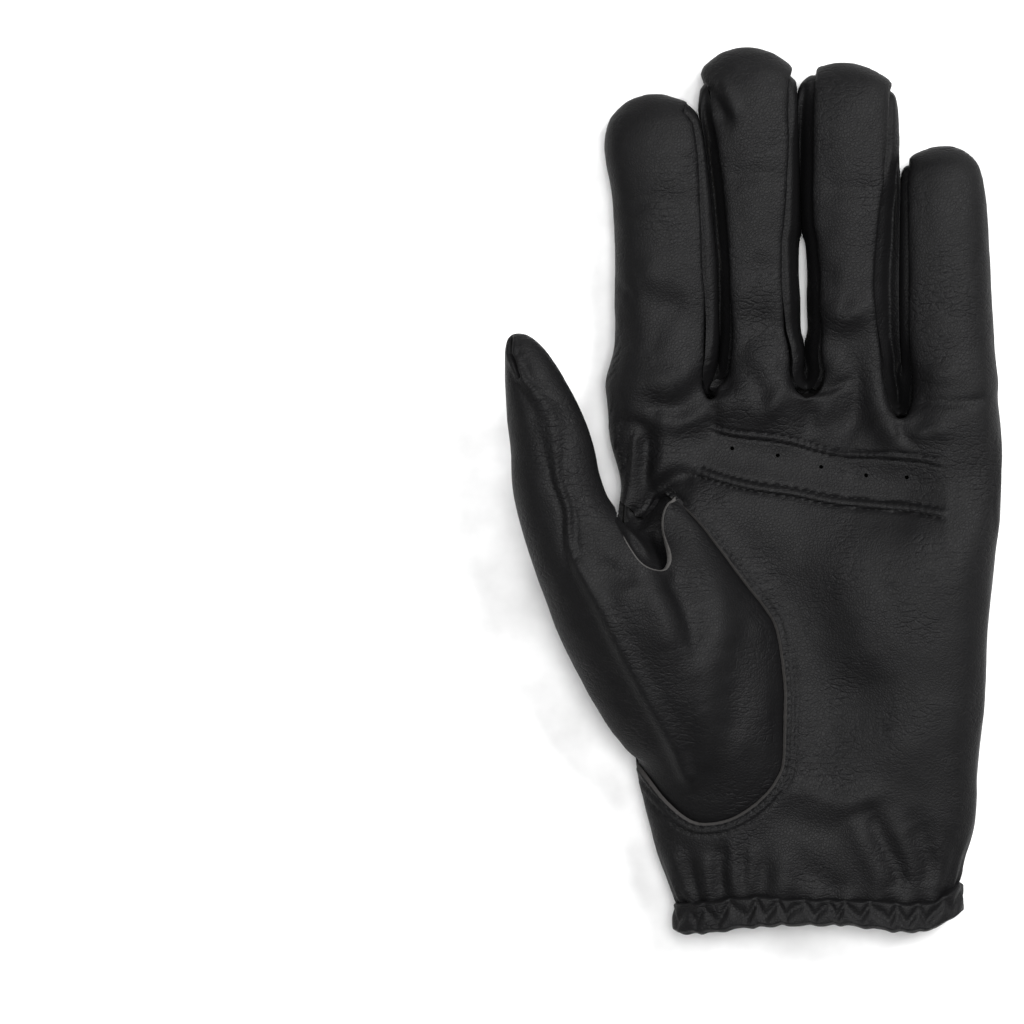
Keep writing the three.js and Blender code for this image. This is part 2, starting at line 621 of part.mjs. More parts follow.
function thumbSolid(inset, fineness) {
  const rows = refine(THUMB, fineness.step);
  const rings = rows.map((row, i) => {
    const before = rows[Math.max(i - 1, 0)];
    const after = rows[Math.min(i + 1, rows.length - 1)];
    const along = new THREE.Vector2(before.x - after.x, before.y - after.y).normalize();
    const across = new THREE.Vector2(along.y, -along.x);
    const back = i === 0 ? inset : 0;
    const h = Math.max(row.h - inset, LEAST_HALF);
    const left = Math.max(row.left - inset, LEAST_HALF);
    const right = Math.max(row.right - inset, LEAST_HALF);
    return section(left, right, h, THUMB_POWER, fineness.thumb).map(({ side, up }) => {
      const x = row.x + across.x * side - along.x * back;
      const y = row.y + across.y * side - along.y * back;
      return new THREE.Vector3(x, y, row.z + up + relief(x, y, inset) * topShare(up / h));
    });
  });
  return loft(rings.filter((ring, i) => i === 0 || i > 1 || inset < 1));
}

// Top of the palm at a place, without the thumb
function palmTop(x, y) {
  const columns = ["x", "z", "w", "h", "power"];
  const row = Object.fromEntries(columns.map((key) => [key, lookUp(HAND, "y", key, y)]));
  const u = Math.min(0.999, Math.abs(x - row.x) / row.w);
  const v = (1 - u ** row.power) ** (1 / row.power);
  return row.z + row.h * v + relief(x, y, 0) * topShare(v);
}

// Round welt along a line on the palm
function weltSolid(table, radius) {
  const rows = refine(table, WELT.step);
  const rings = rows.map((row, i) => {
    const before = rows[Math.max(i - 1, 0)];
    const after = rows[Math.min(i + 1, rows.length - 1)];
    const along = new THREE.Vector2(after.x - before.x, after.y - before.y).normalize();
    const r = i === 0 || i === rows.length - 1 ? radius * WELT.endShare : radius;
    const z = palmTop(row.x, row.y) - WELT.sunk;
    const ring = [];
    for (let k = 0; k < WELT.sides; k += 1) {
      const angle = (k / WELT.sides) * 2 * Math.PI;
      const side = r * Math.cos(angle);
      const height = Math.max(r * Math.sin(angle), -LEATHER / 2);
      ring.push(new THREE.Vector3(row.x - along.y * side, row.y + along.x * side, z + height));
    }
    return ring;
  });
  return loft(rings);
}

// Gathered hem: outer rings with gathers, inner rings smooth
function hemSolid() {
  const wrist = { ...HAND[HAND.length - 1], y: CUFF_TOP };
  const edgeAt = (x) => lookUp(CUFF_EDGE, "x", "y", x);
  const bandRing = ({ along, out, gather }, count, beyond, lowest) => {
    const base = section(wrist.w, wrist.w, wrist.h, wrist.power, count);
    return base.map(({ side, up }, i) => {
      const wave = Math.cos((i / count) * 2 * Math.PI * GATHERS.count);
      const away = out + gather * GATHERS.depth * wave;
      const x = wrist.x + side * (1 + away / wrist.w);
      const y = CUFF_TOP + (edgeAt(x) - CUFF_TOP) * along + beyond;
      const z = wrist.z + up * (1 + away / wrist.h);
      return new THREE.Vector3(x, y, Math.max(z, lowest));
    });
  };
  const outer = loft(HEM_RINGS.map((row) => bandRing(row, GATHERS.count * GATHERS.pointsEach, 0, 0)));
  const ends = [{ along: 0, beyond: HEM.openEnd }, { along: 1, beyond: -HEM.openEnd }];
  const inner = loft(ends.map(({ along, beyond }) => {
    const row = { along, out: HEM.inside, gather: 0 };
    return bandRing(row, HEM.insideSides, beyond, HEM.underWall);
  }));
  return outer.subtract(inner);
}

// Triangles of the largest body, so that no crumb of a cut is left beside a piece
function largestBody(faces, vertexCount) {
  const owner = Array.from({ length: vertexCount }, (_, i) => i);
  const find = (i) => {
    let root = i;
    while (owner[root] !== root) {
      root = owner[root];
    }
    owner[i] = root;
    return root;
  };
  for (let i = 0; i < faces.length; i += 3) {
    owner[find(faces[i + 1])] = find(faces[i]);
    owner[find(faces[i + 2])] = find(faces[i]);
  }
  const sizes = new Map();
  for (let i = 0; i < faces.length; i += 3) {
    const root = find(faces[i]);
    sizes.set(root, (sizes.get(root) ?? 0) + 1);
  }
  const best = [...sizes].reduce((a, b) => (b[1] > a[1] ? b : a))[0];
  const kept = [];
  for (let i = 0; i < faces.length; i += 3) {
    if (find(faces[i]) === best) {
      kept.push(faces[i], faces[i + 1], faces[i + 2]);
    }
  }
  return kept;
}

function meshOf(name, solid, finish) {
  const data = solid.getMesh();
  const vertexCount = data.vertProperties.length / data.numProp;
  const position = new Float32Array(vertexCount * 3);
  for (let i = 0; i < vertexCount; i += 1) {
    const start = i * data.numProp;
    position.set(data.vertProperties.subarray(start, start + 3), i * 3);
  }
  const geometry = new THREE.BufferGeometry();
  geometry.setAttribute("position", new THREE.BufferAttribute(position, 3));
  geometry.setIndex(largestBody(data.triVerts, vertexCount));
  const mesh = new THREE.Mesh(geometry, new THREE.MeshStandardMaterial(finish));
  mesh.name = name;
  return mesh;
}

// Hand and four fingers in one, at a depth below the outer skin
function gloveSolid(inset, fineness, end) {
  const hand = handSolid(inset, fineness, end);
  return union(hand, ...[INDEX, MIDDLE, RING, LITTLE].map((table) => fingerSolid(table, inset, fineness)));
}

// Upright round hole through the palm
function holeSolid({ x, y }) {
  const rim = [];
  for (let i = 0; i < HOLE_SIDES; i += 1) {
    const angle = (i / HOLE_SIDES) * 2 * Math.PI;
    rim.push({ x: x + HOLE_RADIUS * Math.cos(angle), y: y + HOLE_RADIUS * Math.sin(angle) });
  }
  return prism(rim, MIDDLE_LEVEL, TOP_LEVEL);
}

// Shell of hand and fingers, open at the wrist
const hollow = gloveSolid(LEATHER, INSIDE, PANEL_END - OPEN_END);
const shell = gloveSolid(0, OUTSIDE, PANEL_END).subtract(hollow);

// Forked strips: all of the shell between two fingers' seams
const forks = FORKS.map(({ name, outline }) => ({
  name,
  solid: shell.intersect(prism(outline, FLOOR_LEVEL, TOP_LEVEL)),
  clear: prism(grow(outline, SEAM_GAP), FLOOR_LEVEL, TOP_LEVEL),
}));
const forksClear = union(...forks.map((fork) => fork.clear));

// Opening for the thumb and its gusset
const beyond = [{ x: -FAR, y: TEARDROP[TEARDROP.length - 1].y }, { x: -FAR, y: THUMB_GAP[0].y }];
const thumbOutline = [...TEARDROP, ...beyond, ...THUMB_GAP, ...POCKET_EDGE];
const gussetOutline = [THUMB_GAP[THUMB_GAP.length - 1], ...POCKET_EDGE, TEARDROP[0], ...POCKET_TOP];
const opening = union(
  prism(thumbOutline, SIDE_OPENING_Z, TOP_LEVEL),
  prism(gussetOutline, SIDE_OPENING_Z, TOP_LEVEL),
);
const thumbClear = thumbSolid(-SEAM_GAP, OUTSIDE);

// Palm with its welts and holes, and the back
const welts = union(weltSolid(UPPER_WELT, WELT.upperRadius), weltSolid(LOWER_WELT, WELT.lowerRadius));
const palm = shell
  .add(welts)
  .subtract(belowSeam(SEAM_GAP / 2))
  .subtract(forksClear)
  .subtract(opening)
  .subtract(thumbClear)
  .subtract(union(...VENT_HOLES.map(holeSolid)));
const back = shell.intersect(belowSeam(-SEAM_GAP / 2)).subtract(forksClear).subtract(thumbClear);

// Thumb piece, lapped under the palm, and the gusset sunk between them
const thumb = union(thumbSolid(0, OUTSIDE), handSolid(LAP, OUTSIDE, PANEL_END))
  .subtract(union(thumbSolid(LEATHER, INSIDE), handSolid(LAP + LEATHER, INSIDE, PANEL_END - OPEN_END)))
  .intersect(prism(grow(thumbOutline, -SEAM_GAP), SIDE_OPENING_Z + SEAM_GAP, TOP_LEVEL));
const sunkSolid = (depth) => union(handSolid(depth, OUTSIDE, PANEL_END), thumbSolid(depth, OUTSIDE));
const gusset = sunkSolid(POCKET_DEPTH)
  .subtract(sunkSolid(POCKET_DEPTH + LEATHER))
  .intersect(prism(grow(gussetOutline, GUSSET_LAP), SIDE_OPENING_Z - GUSSET_BELOW, TOP_LEVEL));

const group = new THREE.Group();
group.name = "driving_glove";
group.add(meshOf("palm_panel", palm, FINISH.palm_panel));
group.add(meshOf("back_panel", back, FINISH.back_panel));
forks.forEach((fork) => group.add(meshOf(fork.name, fork.solid, FINISH.fourchette)));
group.add(meshOf("thumb", thumb, FINISH.thumb));
group.add(meshOf("thumb_gusset", gusset, FINISH.thumb_gusset));
group.add(meshOf("cuff_hem", hemSolid(), FINISH.cuff_hem));

export default group;
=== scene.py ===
"""Looks of a left-hand driving glove lying on its back: one blended skin of hand, fingers and thumb is
made from named section tables, cut along its seams into leather pieces, folded, given thickness and
stitched. Lengths are millimetres until a piece is made; +Z is up and the floor is at z = 0."""
import math

import bpy
import numpy as np
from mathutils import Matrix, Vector, noise
from mathutils.bvhtree import BVHTree


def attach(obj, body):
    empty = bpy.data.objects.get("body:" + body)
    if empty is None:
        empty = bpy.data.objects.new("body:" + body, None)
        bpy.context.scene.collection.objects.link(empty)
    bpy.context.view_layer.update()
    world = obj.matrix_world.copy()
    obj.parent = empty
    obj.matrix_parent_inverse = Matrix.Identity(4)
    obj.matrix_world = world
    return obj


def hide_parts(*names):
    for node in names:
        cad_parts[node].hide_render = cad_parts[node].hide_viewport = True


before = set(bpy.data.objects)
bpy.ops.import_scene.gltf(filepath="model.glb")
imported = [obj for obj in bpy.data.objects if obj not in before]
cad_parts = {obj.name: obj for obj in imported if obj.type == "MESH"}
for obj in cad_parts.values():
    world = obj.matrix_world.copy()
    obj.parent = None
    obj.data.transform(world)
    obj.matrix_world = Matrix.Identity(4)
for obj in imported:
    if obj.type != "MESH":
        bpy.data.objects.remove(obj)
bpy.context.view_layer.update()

MM = 0.001  # one millimetre in metres
VOXEL = 1.0  # grid on which the lofted solids are blended into one skin
LEATHER = 1.2  # wall of a leather piece
GUSSET_WALL = 1.0
LEAST_INSIDE = 0.3  # the inner side of a wall stays this far above the floor
SIDE_OPENING_Z = 11.8  # lowest level of the opening for the thumb
FINGER_POWER = 2.3  # roundness of a section, 2 is an ellipse
THUMB_POWER = 2.1
FINGER_SPREAD = 3.8  # the fingers are parted by this much while the skin is blended
SPREAD_FROM = 27.0  # above this y, growing over the length below
SPREAD_OVER = 13.0
WEB_END = 31.0  # above this y the fingers are apart
THUMB_SIDE = -45.5  # left of this is only the thumb

# Finger sections from the tip to the base: y, x, z of the centre, half width, half height
INDEX = [
    (105.2, -25.9, 8, 2.4, 1.8), (103.7, -25.4, 8, 7.1, 4.4), (100.5, -25.4, 8.1, 10.9, 6.8),
    (96.5, -25.5, 8.4, 12.9, 8.2), (90, -25, 8.8, 14, 9.2), (77, -23.1, 9, 13.8, 9.5),
    (63.7, -22.2, 9.2, 14.1, 9.7), (50.5, -21.9, 9.4, 14.5, 9.9), (40, -21.9, 9.7, 14.6, 10.2),
    (27, -24.3, 10.2, 14.6, 10.7), (15.4, -23.7, 10.8, 13.5, 10.9), (4, -22.6, 11.4, 11.8, 9.8),
    (-6, -18, 11.8, 7, 6.6),
]
MIDDLE = [
    (117.7, -1, 8.2, 2.4, 1.8), (116.2, -1.1, 8.2, 7.1, 4.4), (113, -1.1, 8.3, 11.3, 6.9),
    (109.6, -0.9, 8.6, 12.7, 8.1), (103.5, -0.9, 8.9, 13.4, 9.1), (90.2, 0.1, 9.1, 13.5, 9.4),
    (77, 1, 9.2, 13, 9.6), (63.7, 0.8, 9.3, 11.8, 9.7), (50.5, 1.45, 9.55, 11.5, 9.9),
    (43, 1.85, 9.65, 11.6, 10), (37.2, 2.5, 9.8, 11.9, 10.2), (24, 2.8, 10.4, 10.8, 10.8),
    (8, 2.6, 11.2, 8.6, 8.4),
]
RING = [
    (113.6, 24.2, 8, 2.4, 1.8), (112.4, 24.3, 8, 6.4, 4.2), (109.8, 25, 8.2, 10.7, 6.6),
    (106.4, 25.2, 8.5, 13, 8), (101, 25.4, 8.8, 13.8, 9), (90.2, 25.8, 9, 14, 9.4),
    (77, 26.3, 9.2, 14.2, 9.6), (63.7, 27.3, 9.3, 12.9, 9.7), (50.5, 27.35, 9.55, 12.7, 9.9),
    (43, 27.35, 9.65, 12.7, 10), (37.2, 27.1, 9.8, 13.2, 10.2), (22, 27, 10.4, 11.8, 10.8),
    (6, 27, 11.2, 8.6, 8.4),
]
LITTLE = [
    (91.4, 50.7, 7.8, 2.4, 1.8), (90.2, 50.6, 7.8, 5.8, 3.8), (87.6, 50.2, 8, 9.4, 6.2),
    (84.4, 50.1, 8.2, 11, 7.5), (79, 50.3, 8.5, 11.8, 8.5), (71.7, 50.5, 8.7, 12.3, 9),
    (61.1, 50.8, 8.9, 12.6, 9.3), (50.5, 51, 9.2, 12.8, 9.6), (40, 51.5, 9.6, 12.9, 10),
    (29.3, 52.7, 10, 12.6, 10.4), (15.4, 53.3, 10.7, 12.8, 10.7), (4, 53.2, 11.4, 12.2, 9.8),
    (-6, 48, 11.8, 7, 6.6),
]
FINGERS = [INDEX, MIDDLE, RING, LITTLE]
# How far each side moves in to close the gap between two fingers: y, distance
FINGER_TOUCH = [
    [(30, 0.5), (98, 0.55), (106, 0)],
    [(38, 0.6), (42.5, 0), (66, 0), (70, 0.6), (104, 0.6), (112, 0)],
    [(30, 0.5), (80, 0.6), (86, 0)],
]

# Hand sections from the knuckles to the wrist: y, x, z, half width, half height, power of the section
HAND = [
    (28.6, 14.2, 9.6, 47, 7.2, 3), (27.2, 14.2, 10.2, 51.2, 9.8, 3.3), (22, 14, 10.9, 52, 11.4, 3.4),
    (14.4, 14.4, 11.4, 51.8, 12, 3.3), (1.7, 15.8, 11.9, 50.4, 12.4, 3.1),
    (-7.8, 15.1, 12.1, 50.6, 12.6, 3),
    (-18.4, 15.3, 12.2, 49.1, 12.7, 2.9), (-34.3, 15.5, 12.2, 47.3, 12.7, 2.8),
    (-55.5, 15.6, 12, 46.1, 12.5, 2.7), (-72.5, 14.7, 11.6, 45.2, 12, 2.6),
    (-82, 15.5, 11.2, 44.1, 11.6, 2.6), (-90, 16.1, 10.9, 42.6, 11.2, 2.6),
    (-98, 16, 10.6, 40.4, 10.9, 2.6), (-104.3, 16.7, 10.4, 38.6, 10.6, 2.6),
    (-111, 17.6, 10.3, 37.4, 10.5, 2.6),
]
# Where the web between two fingers lies, along the row of knuckles: x, y
KNUCKLES = [(-38, 24), (-11, 27.4), (14.8, 29.2), (39.4, 22), (65, 20)]

# Thumb sections from the tip into the ball of the hand: x, y, z, half widths left and right, half height
THUMB = [
    (-63.2, 41.4, 26, 1.6, 1.6, 1.8), (-62.6, 39.6, 26, 3.4, 3.8, 4.2), (-60.8, 35.4, 26, 5.6, 6, 6.2),
    (-58.6, 30, 26, 7.6, 7.6, 7.6), (-55.6, 20.8, 26, 9.9, 9.7, 8.9),
    (-53.1, 11.3, 26, 11.1, 11.1, 9.6), (-51.6, 1.7, 25.8, 12, 11.4, 10.2),
    (-48.6, -7.8, 25.4, 12.7, 12.2, 10.7), (-42.9, -18.4, 24.8, 14.9, 15, 11.2),
    (-35, -31.1, 23.2, 18.1, 19, 10.2), (-27, -42.3, 21.8, 20.2, 22, 9.2),
    (-19.1, -52.9, 20.4, 21.2, 21, 7.8), (-12.5, -62.6, 18, 19.2, 15, 6),
    (-7.2, -70.6, 15.6, 12.5, 8, 3.4),
]

# Seams between finger fronts and forked strips, x and y, down one finger, round the web and up the next
FORKS = {
    "index_middle": [
        (-18, 100.6), (-15.6, 97.7), (-14.3, 88.9), (-14, 82.3), (-13.5, 68.8), (-13.3, 59.5),
        (-12.4, 50.5),
        (-12.1, 41.5), (-12.3, 34.6), (-12, 29), (-11.4, 26.6), (-10.4, 26.8), (-8.4, 30), (-6.4, 37),
        (-6, 50.5), (-6.4, 63.7), (-7.5, 77), (-9.1, 90), (-10.9, 99), (-12.9, 107), (-14.4, 110.5),
    ],
    "middle_ring": [
        (11.8, 112.4), (10.2, 107.8), (9.6, 101.9), (9.7, 92), (9.2, 82.3), (8.5, 68.8), (8.5, 59.5),
        (8.8, 52), (10.1, 41.5), (11.4, 32.3), (12.6, 28.6), (14.2, 27.6), (15.9, 28.2), (17.2, 32),
        (17.2, 42), (17.3, 54), (16.6, 65), (15.9, 77), (16.1, 90), (16.3, 101), (16.3, 107),
        (16.8, 112.2),
    ],
    "ring_little": [
        (38.4, 108.6), (37.1, 105), (36.8, 97.9), (35.8, 88.1), (35.1, 82.3), (33.7, 72.7), (32.7, 58.7),
        (32.7, 51.5), (33.9, 41.2), (35.8, 31.1), (37.7, 23.7), (38.9, 20.9), (40.1, 20.9), (41, 24),
        (41.1, 40), (41.3, 60), (41.2, 75), (41, 83), (41.3, 89.6),
    ],
}
# Dark valley between two fingers: y, x of its middle, half width, depth below the seams
VALLEYS = {
    "index_middle": [
        (26, -11, 1.7, 5.5), (33, -8.9, 2.4, 5), (41, -7.9, 2.4, 5), (50, -7.8, 2.2, 4.5),
        (61, -7.9, 2.2, 4.5), (77, -9.3, 2.2, 4.5), (93, -11, 2.1, 4.5), (101, -12.6, 1.4, 3),
        (108, -13.4, 1, 0),
    ],
    "middle_ring": [
        (27.6, 14.4, 2.1, 5.5), (33, 14.9, 2.6, 6), (45, 14.1, 3.6, 6.2), (66, 13.5, 3.6, 6),
        (77, 13.2, 3.2, 6), (93, 13.5, 3, 6), (101, 14, 2.6, 4), (110, 14.4, 1, 0),
    ],
    "ring_little": [
        (20.9, 39.3, 1.9, 5.5), (27, 38.8, 2.9, 7), (33, 37.6, 3.7, 7), (41, 36.2, 4.2, 7),
        (55, 35.9, 4.4, 6.5), (75, 36.9, 3.6, 6), (84, 38.2, 2, 4), (92, 39.6, 1, 0),
    ],
}
# Point past the fingertips that closes each fork's outline: x, y
FORK_ENDS = {"index_middle": (-13, 124), "middle_ring": (12.6, 124), "ring_little": (39.2, 124)}

# Cut edge of the palm round the ball of the thumb, from its upper point to the left side
TEARDROP = [
    (-21.5, -2), (-15.9, -6.8), (-8, -15.5), (0.3, -26.1), (4.4, -31.4), (7, -36.6), (9, -48.6),
    (9.4, -57), (8.5, -71.2), (6.4, -76.5), (3.4, -80.4), (-0.8, -84), (-5.8, -86.8), (-11.1, -88),
    (-16.2, -87.4), (-22.5, -82.5), (-30.3, -72.7),
]
# Between thumb and index, down to the notch
THUMB_GAP = [(-44, 60), (-42.6, 27), (-37.9, 5), (-36.6, -2), (-35.9, -8.1)]
# Edge of the thumb piece round the notch, on to the teardrop's upper point
POCKET_EDGE = [
    (-35.9, -8.1), (-33.8, -12.3), (-32, -15.4), (-29.7, -18.4), (-27.4, -19.9), (-25.2, -20.3),
    (-23.1, -19.9),
    (-22.4, -18.4), (-22.6, -16.4), (-23.4, -13.9), (-24.2, -11.2), (-24.4, -8.2), (-23.9, -5.2),
    (-22.7, -2.9),
    (-21.5, -2),
]
# Edge of the palm over the notch, from that point back to the notch's left end
POCKET_TOP = [(-21.5, -2), (-23.8, -0.3), (-26.4, -1.4), (-28.6, -4.2), (-30.4, -6.6), (-32, -6.4),
              (-34.4, -3.4), (-37.4, 0.5), (-35.9, -8.1)]
# Deepest line of the notch
POCKET_BOTTOM = [(-32, -13), (-28, -16.5), (-25, -15)]

# Height of the side seam: y, z
SIDE_SEAM = [(-125, 9.5), (12, 9.5), (40, 9), (125, 8.4)]

# Broad forms of the upper side: x1, y1, x2, y2, reach, height
BROAD = [
    (14, -16, 18, -60, 16, -2.6),  # hollow of the palm
    (46, -20, 44, -66, 12, 1.6),  # heel at the little side
    (-24, -32, -10, -61, 17, 8),  # ball of the thumb
]
# Where the ball of the thumb flows into the palm: x, y
BALL_AREA = [(-20, -14), (-4, -18), (12, -36), (16, -60), (8, -82), (-12, -92),
             (-26, -82), (-22, -66), (-30, -48), (-30, -30)]

# Folds and dents of the palm side: reach, height, points x and y along the fold
PALM_FOLDS = [
    (8, -1.1, [(-30, 42), (-16, 41)]),  # low bases of the index, the middle and the ring
    (9, -1.7, [(-4, 42), (7, 41)]),
    (9, -1.9, [(19, 34), (33, 33)]),
    (24, -1.6, [(-24, 18), (14, 12), (50, 5)]),  # slow dip towards the welts
    (14, -2.8, [(1, -22), (4, -38), (4, -58), (1, -78)]),  # palm falling to the thumb
    (9, -1.4, [(18, -51), (30, -53), (38, -54)]),  # shallow dip across the palm
    (12, -4.4, [(-24, 14), (-4, 11), (14, 6), (30, 1.5), (52, 0)]),  # bend of the palm along the welts
    (9, -3, [(18, 18.5), (27, 13.5)]),  # hollow below the ring
    (5, 1, [(-20, 25.5), (4, 25)]),  # pad below the middle
    (5, 0.6, [(44, 19.5), (54, 19)]),  # pad below the little
    (6.5, 0.9, [(57, -6), (56, -40), (54, -75), (51, -94)]),  # shoulder at the little side
    (9, -2, [(-12, -5), (-4, -16), (4, -28)]),  # slope towards the thumb
    (2.6, -0.7, [(-10.9, 26.6), (-17, 24), (-23, 22.3), (-28.5, 23.4)]),  # crease over the index base
    (4, 1, [(-14, 32.5), (-22, 29.5), (-29, 28.5)]),  # roll above it
    (3, 1, [(-14, 20), (-20, 18), (-27, 18.5)]),  # roll below it
    (2, -0.6, [(-38, 17.9), (-33, 17.6), (-29.3, 16)]),  # crease at the index edge
    (1.1, 1.2, [(-32.2, 14.5), (-32.8, 7.8), (-33.8, 1.3), (-34.8, -4.5)]),  # roll beside the notch
    (3.8, -2.5, [(-29, 16), (-29.8, 8), (-30.8, 1.5), (-31.4, -4)]),  # valley right of that roll
    (2.8, -1.8, [(-15.5, 3.8), (-20.5, 3.6), (-24.5, 1.6), (-28, -2), (-30.5, -6)]),  # hollow from the welt
    (4, -0.9, [(-26, 51), (-21, 49), (-17.5, 46.5)]),  # dent of the index
    (4.2, 0.9, [(-30, 57), (-24, 58)]),  # shoulder above it
    (4.6, 1, [(-26, 39.5), (-18, 37.5)]),  # bulge of the index
    (1.2, -0.4, [(-36, 54), (-33.5, 52.8), (-32, 50.5)]),  # nick at the index edge
    (2.8, -0.5, [(-34, 75.5), (-26, 77), (-17, 76)]),  # upper bend of the index
    (1.6, -1.1, [(-12, 107.4), (-9.5, 103), (-6.5, 97.5)]),  # slant fold at the tip of the middle
    (1.8, 0.8, [(-9, 109.5), (-6.5, 104.5), (-3.8, 98)]),
    (2.8, -0.5, [(-7, 83), (1, 84), (8, 83)]),  # upper bend of the middle
    (3.4, -0.6, [(-2, 57), (2.5, 59), (6.5, 57)]),  # upper dent of the middle
    (3, 0.6, [(-4, 54.5), (-3, 50)]),  # swell beside it
    (3.8, -0.8, [(0.5, 47), (5, 43.5)]),  # lower dent of the middle
    (3.2, 1, [(-2.5, 38), (1, 36), (4.5, 33.5)]),  # bulge at the base of the middle
    (2.2, -0.8, [(-1.5, 30), (1, 28), (2, 24)]),  # valley below that bulge
    (2.4, 0.9, [(10.5, 30), (7.5, 26), (3.5, 20.5)]),  # slant ridge below the middle
    (2, -0.9, [(-10.6, 25.5), (-10.6, 20), (-10, 16.5)]),  # valley below the first web
    (2.8, -0.5, [(19, 80), (33, 79)]),  # upper bend of the ring
    (2.6, -0.5, [(17, 58.5), (19.8, 57), (21, 54)]),  # nick at the left of the ring
    (3.4, 1, [(20, 50), (24, 46), (30, 48.5)]),  # swell of the ring
    (3.4, -0.6, [(21.5, 39.5), (26, 40.5), (31, 42)]),  # lower dent of the ring
    (2.6, 0.7, [(19.5, 34.5), (23, 32)]),  # bulge at the base of the ring
    (1.1, -0.7, [(16.5, 28.6), (20.5, 28), (24.5, 29.2)]),  # crease below it
    (4, -1.4, [(14.6, 26), (15, 20), (16.5, 14.5)]),  # dark valley left of the ring's base
    (6, -1.7, [(19, 22), (25, 20), (31, 16)]),  # hollow of the ring's base
    (3.6, -1.2, [(27, 33), (28.6, 25), (29.8, 17)]),  # dark valley in it
    (3, 1, [(33.5, 27), (35, 20), (38.5, 13.5)]),  # ridge beside it
    (1.4, -0.9, [(38.8, 19), (40, 15.5), (43, 13)]),  # valley below the third web
    (1.2, -0.5, [(44, 24), (52, 23), (62, 24.2)]),  # crease over the little base
    (3, 0.8, [(45, 31), (54, 30.5)]),  # roll above it
    (2.2, 0.8, [(42.5, 14.5), (47, 16), (52, 15)]),  # fold under the little
    (8, 0.9, [(19, -12), (27, -28), (30, -52)]),  # swell of the palm
    (3, 0.6, [(12, -78), (22, -82), (34, -80)]),
    (3.4, -0.6, [(8, -86), (20, -90), (30, -86)]),
    (2.6, 0.8, [(-21.5, -95), (-19.3, -103), (-17, -108.5)]),  # drapes of the wrist, from the left
    (2, -0.6, [(-17, -97), (-15.4, -107)]),
    (1.7, 0.5, [(-12.6, -97), (-11.5, -107)]),
    (1.8, -0.6, [(-8.6, -94), (-8.4, -107)]),
    (1.8, 0.5, [(-5.4, -92), (-4.6, -106)]),
    (1.5, -0.4, [(-2.6, -96), (-2.8, -106)]),
    (1.9, 0.4, [(-0.6, -94), (-0.6, -105)]),
    (2.2, -0.6, [(3, -97), (3.4, -106)]),
    (3, 0.6, [(8, -96), (9, -107)]),
    (3, -0.6, [(14, -99), (20, -104.5), (27, -105.5)]),
    (3.8, 0.9, [(26, -86), (30, -94), (33.6, -101), (35.6, -105)]),  # slant folds at the right
    (2.8, -1.1, [(31, -86), (35, -94), (38.8, -101.5), (40.4, -105.5)]),
    (3.2, 0.8, [(38, -88), (41, -96), (43.6, -104)]),
    (3.2, -0.8, [(43, -88), (46.5, -97), (47, -105)]),
    (2.6, 0.6, [(48, -92), (49.6, -98.5), (47.5, -106)]),
]
# Folds of the thumb piece, given the same way
THUMB_FOLDS = [
    (3.4, -1.9, [(-22.6, -21.5), (-20.4, -24), (-17.6, -29.5), (-15.6, -36), (-14.8, -42)]),  # valley
    (4.6, 1, [(-10.5, -24), (-8, -33), (-8.5, -42)]),  # swell right of it
    (3.6, 0.8, [(-27, -26), (-24, -34), (-22, -42)]),
    (3, -0.9, [(-30, -22.5), (-36, -22), (-41, -18)]),  # slack below the notch
    (3.6, -0.7, [(-6, -50), (-4, -58), (-6, -66)]),
    (3, 0.6, [(-14, -56), (-12, -64), (-14, -74)]),
    (2.2, 1.3, [(-47.2, -18), (-40.4, -30), (-33.8, -43), (-27.4, -55), (-20.8, -67), (-16.6, -77)]),
]
# Puckered closing seam of the thumb from its tip, x and y, and the part of it that gapes
CLOSING_SEAM = [
    (-62.2, 33), (-60.5, 29), (-58.1, 26), (-55.5, 22.5), (-53.7, 19.5), (-52.7, 13.4), (-51.6, 3.3),
    (-50.2, -1), (-48.9, -5.4), (-48.7, -9.7), (-48.5, -13.6), (-47.2, -18), (-43.5, -24),
]
TIP_SEAM = [(-63.6, 43), (-63.9, 39.5), (-64, 36), (-63.1, 34), (-61.6, 29.9)]

# Raised welts across the palm and the vent holes between them: x, y
UPPER_WELT = [(-13.5, 18.9), (-6.6, 16), (8, 13.9), (21.5, 10.5), (35, 9.8), (45.8, 8.6), (53, 6.5)]
LOWER_WELT = [
    (-17.2, 6.2), (-8.8, 3.6), (0, 1.2), (10.9, -0.8), (21.5, -3), (35, -3.8), (43.2, -4.3), (52.4, -6.2),
]
VENT_HOLES = [(-5.5, 11.7), (6.8, 9.6), (18.2, 6.3), (30.1, 4.3), (41.2, 3.9)]
HOLE_RADIUS = 0.55
FOLD_SHARE = 1.25  # all folds are this much higher than their tables say
STITCH_PITCH = 2  # of the seam along the teardrop

# Lines of the cuff: where the hem is sewn on, and its lower edge: x, y
HEM_LINE = [(-22, -109.4), (-10.9, -108.4), (-5.6, -107.4), (2.7, -106.9), (8, -107.6), (20, -107.9),
            (35, -108.2), (40.5, -109), (48, -108.6), (51, -106.8), (53.5, -104.6), (57, -102.4)]
CUFF_EDGE = [(-22, -116.6), (-17.5, -117.4), (-10.9, -117), (-2.7, -115.7), (8, -114.9), (24.4, -114.9),
             (32.3, -115.9), (38, -116.7), (45.3, -116.7), (51.4, -114.4), (57, -110.4)]
GATHERS = 27  # round the cuff


# Numbers and curves

def smooth(t):
    """Eased step from 0 to 1."""
    t = np.clip(t, 0.0, 1.0)
    return t * t * (3 - 2 * t)


def bell(distance, reach):
    """Round hump of height 1."""
    return np.exp(-(distance / reach) ** 2)


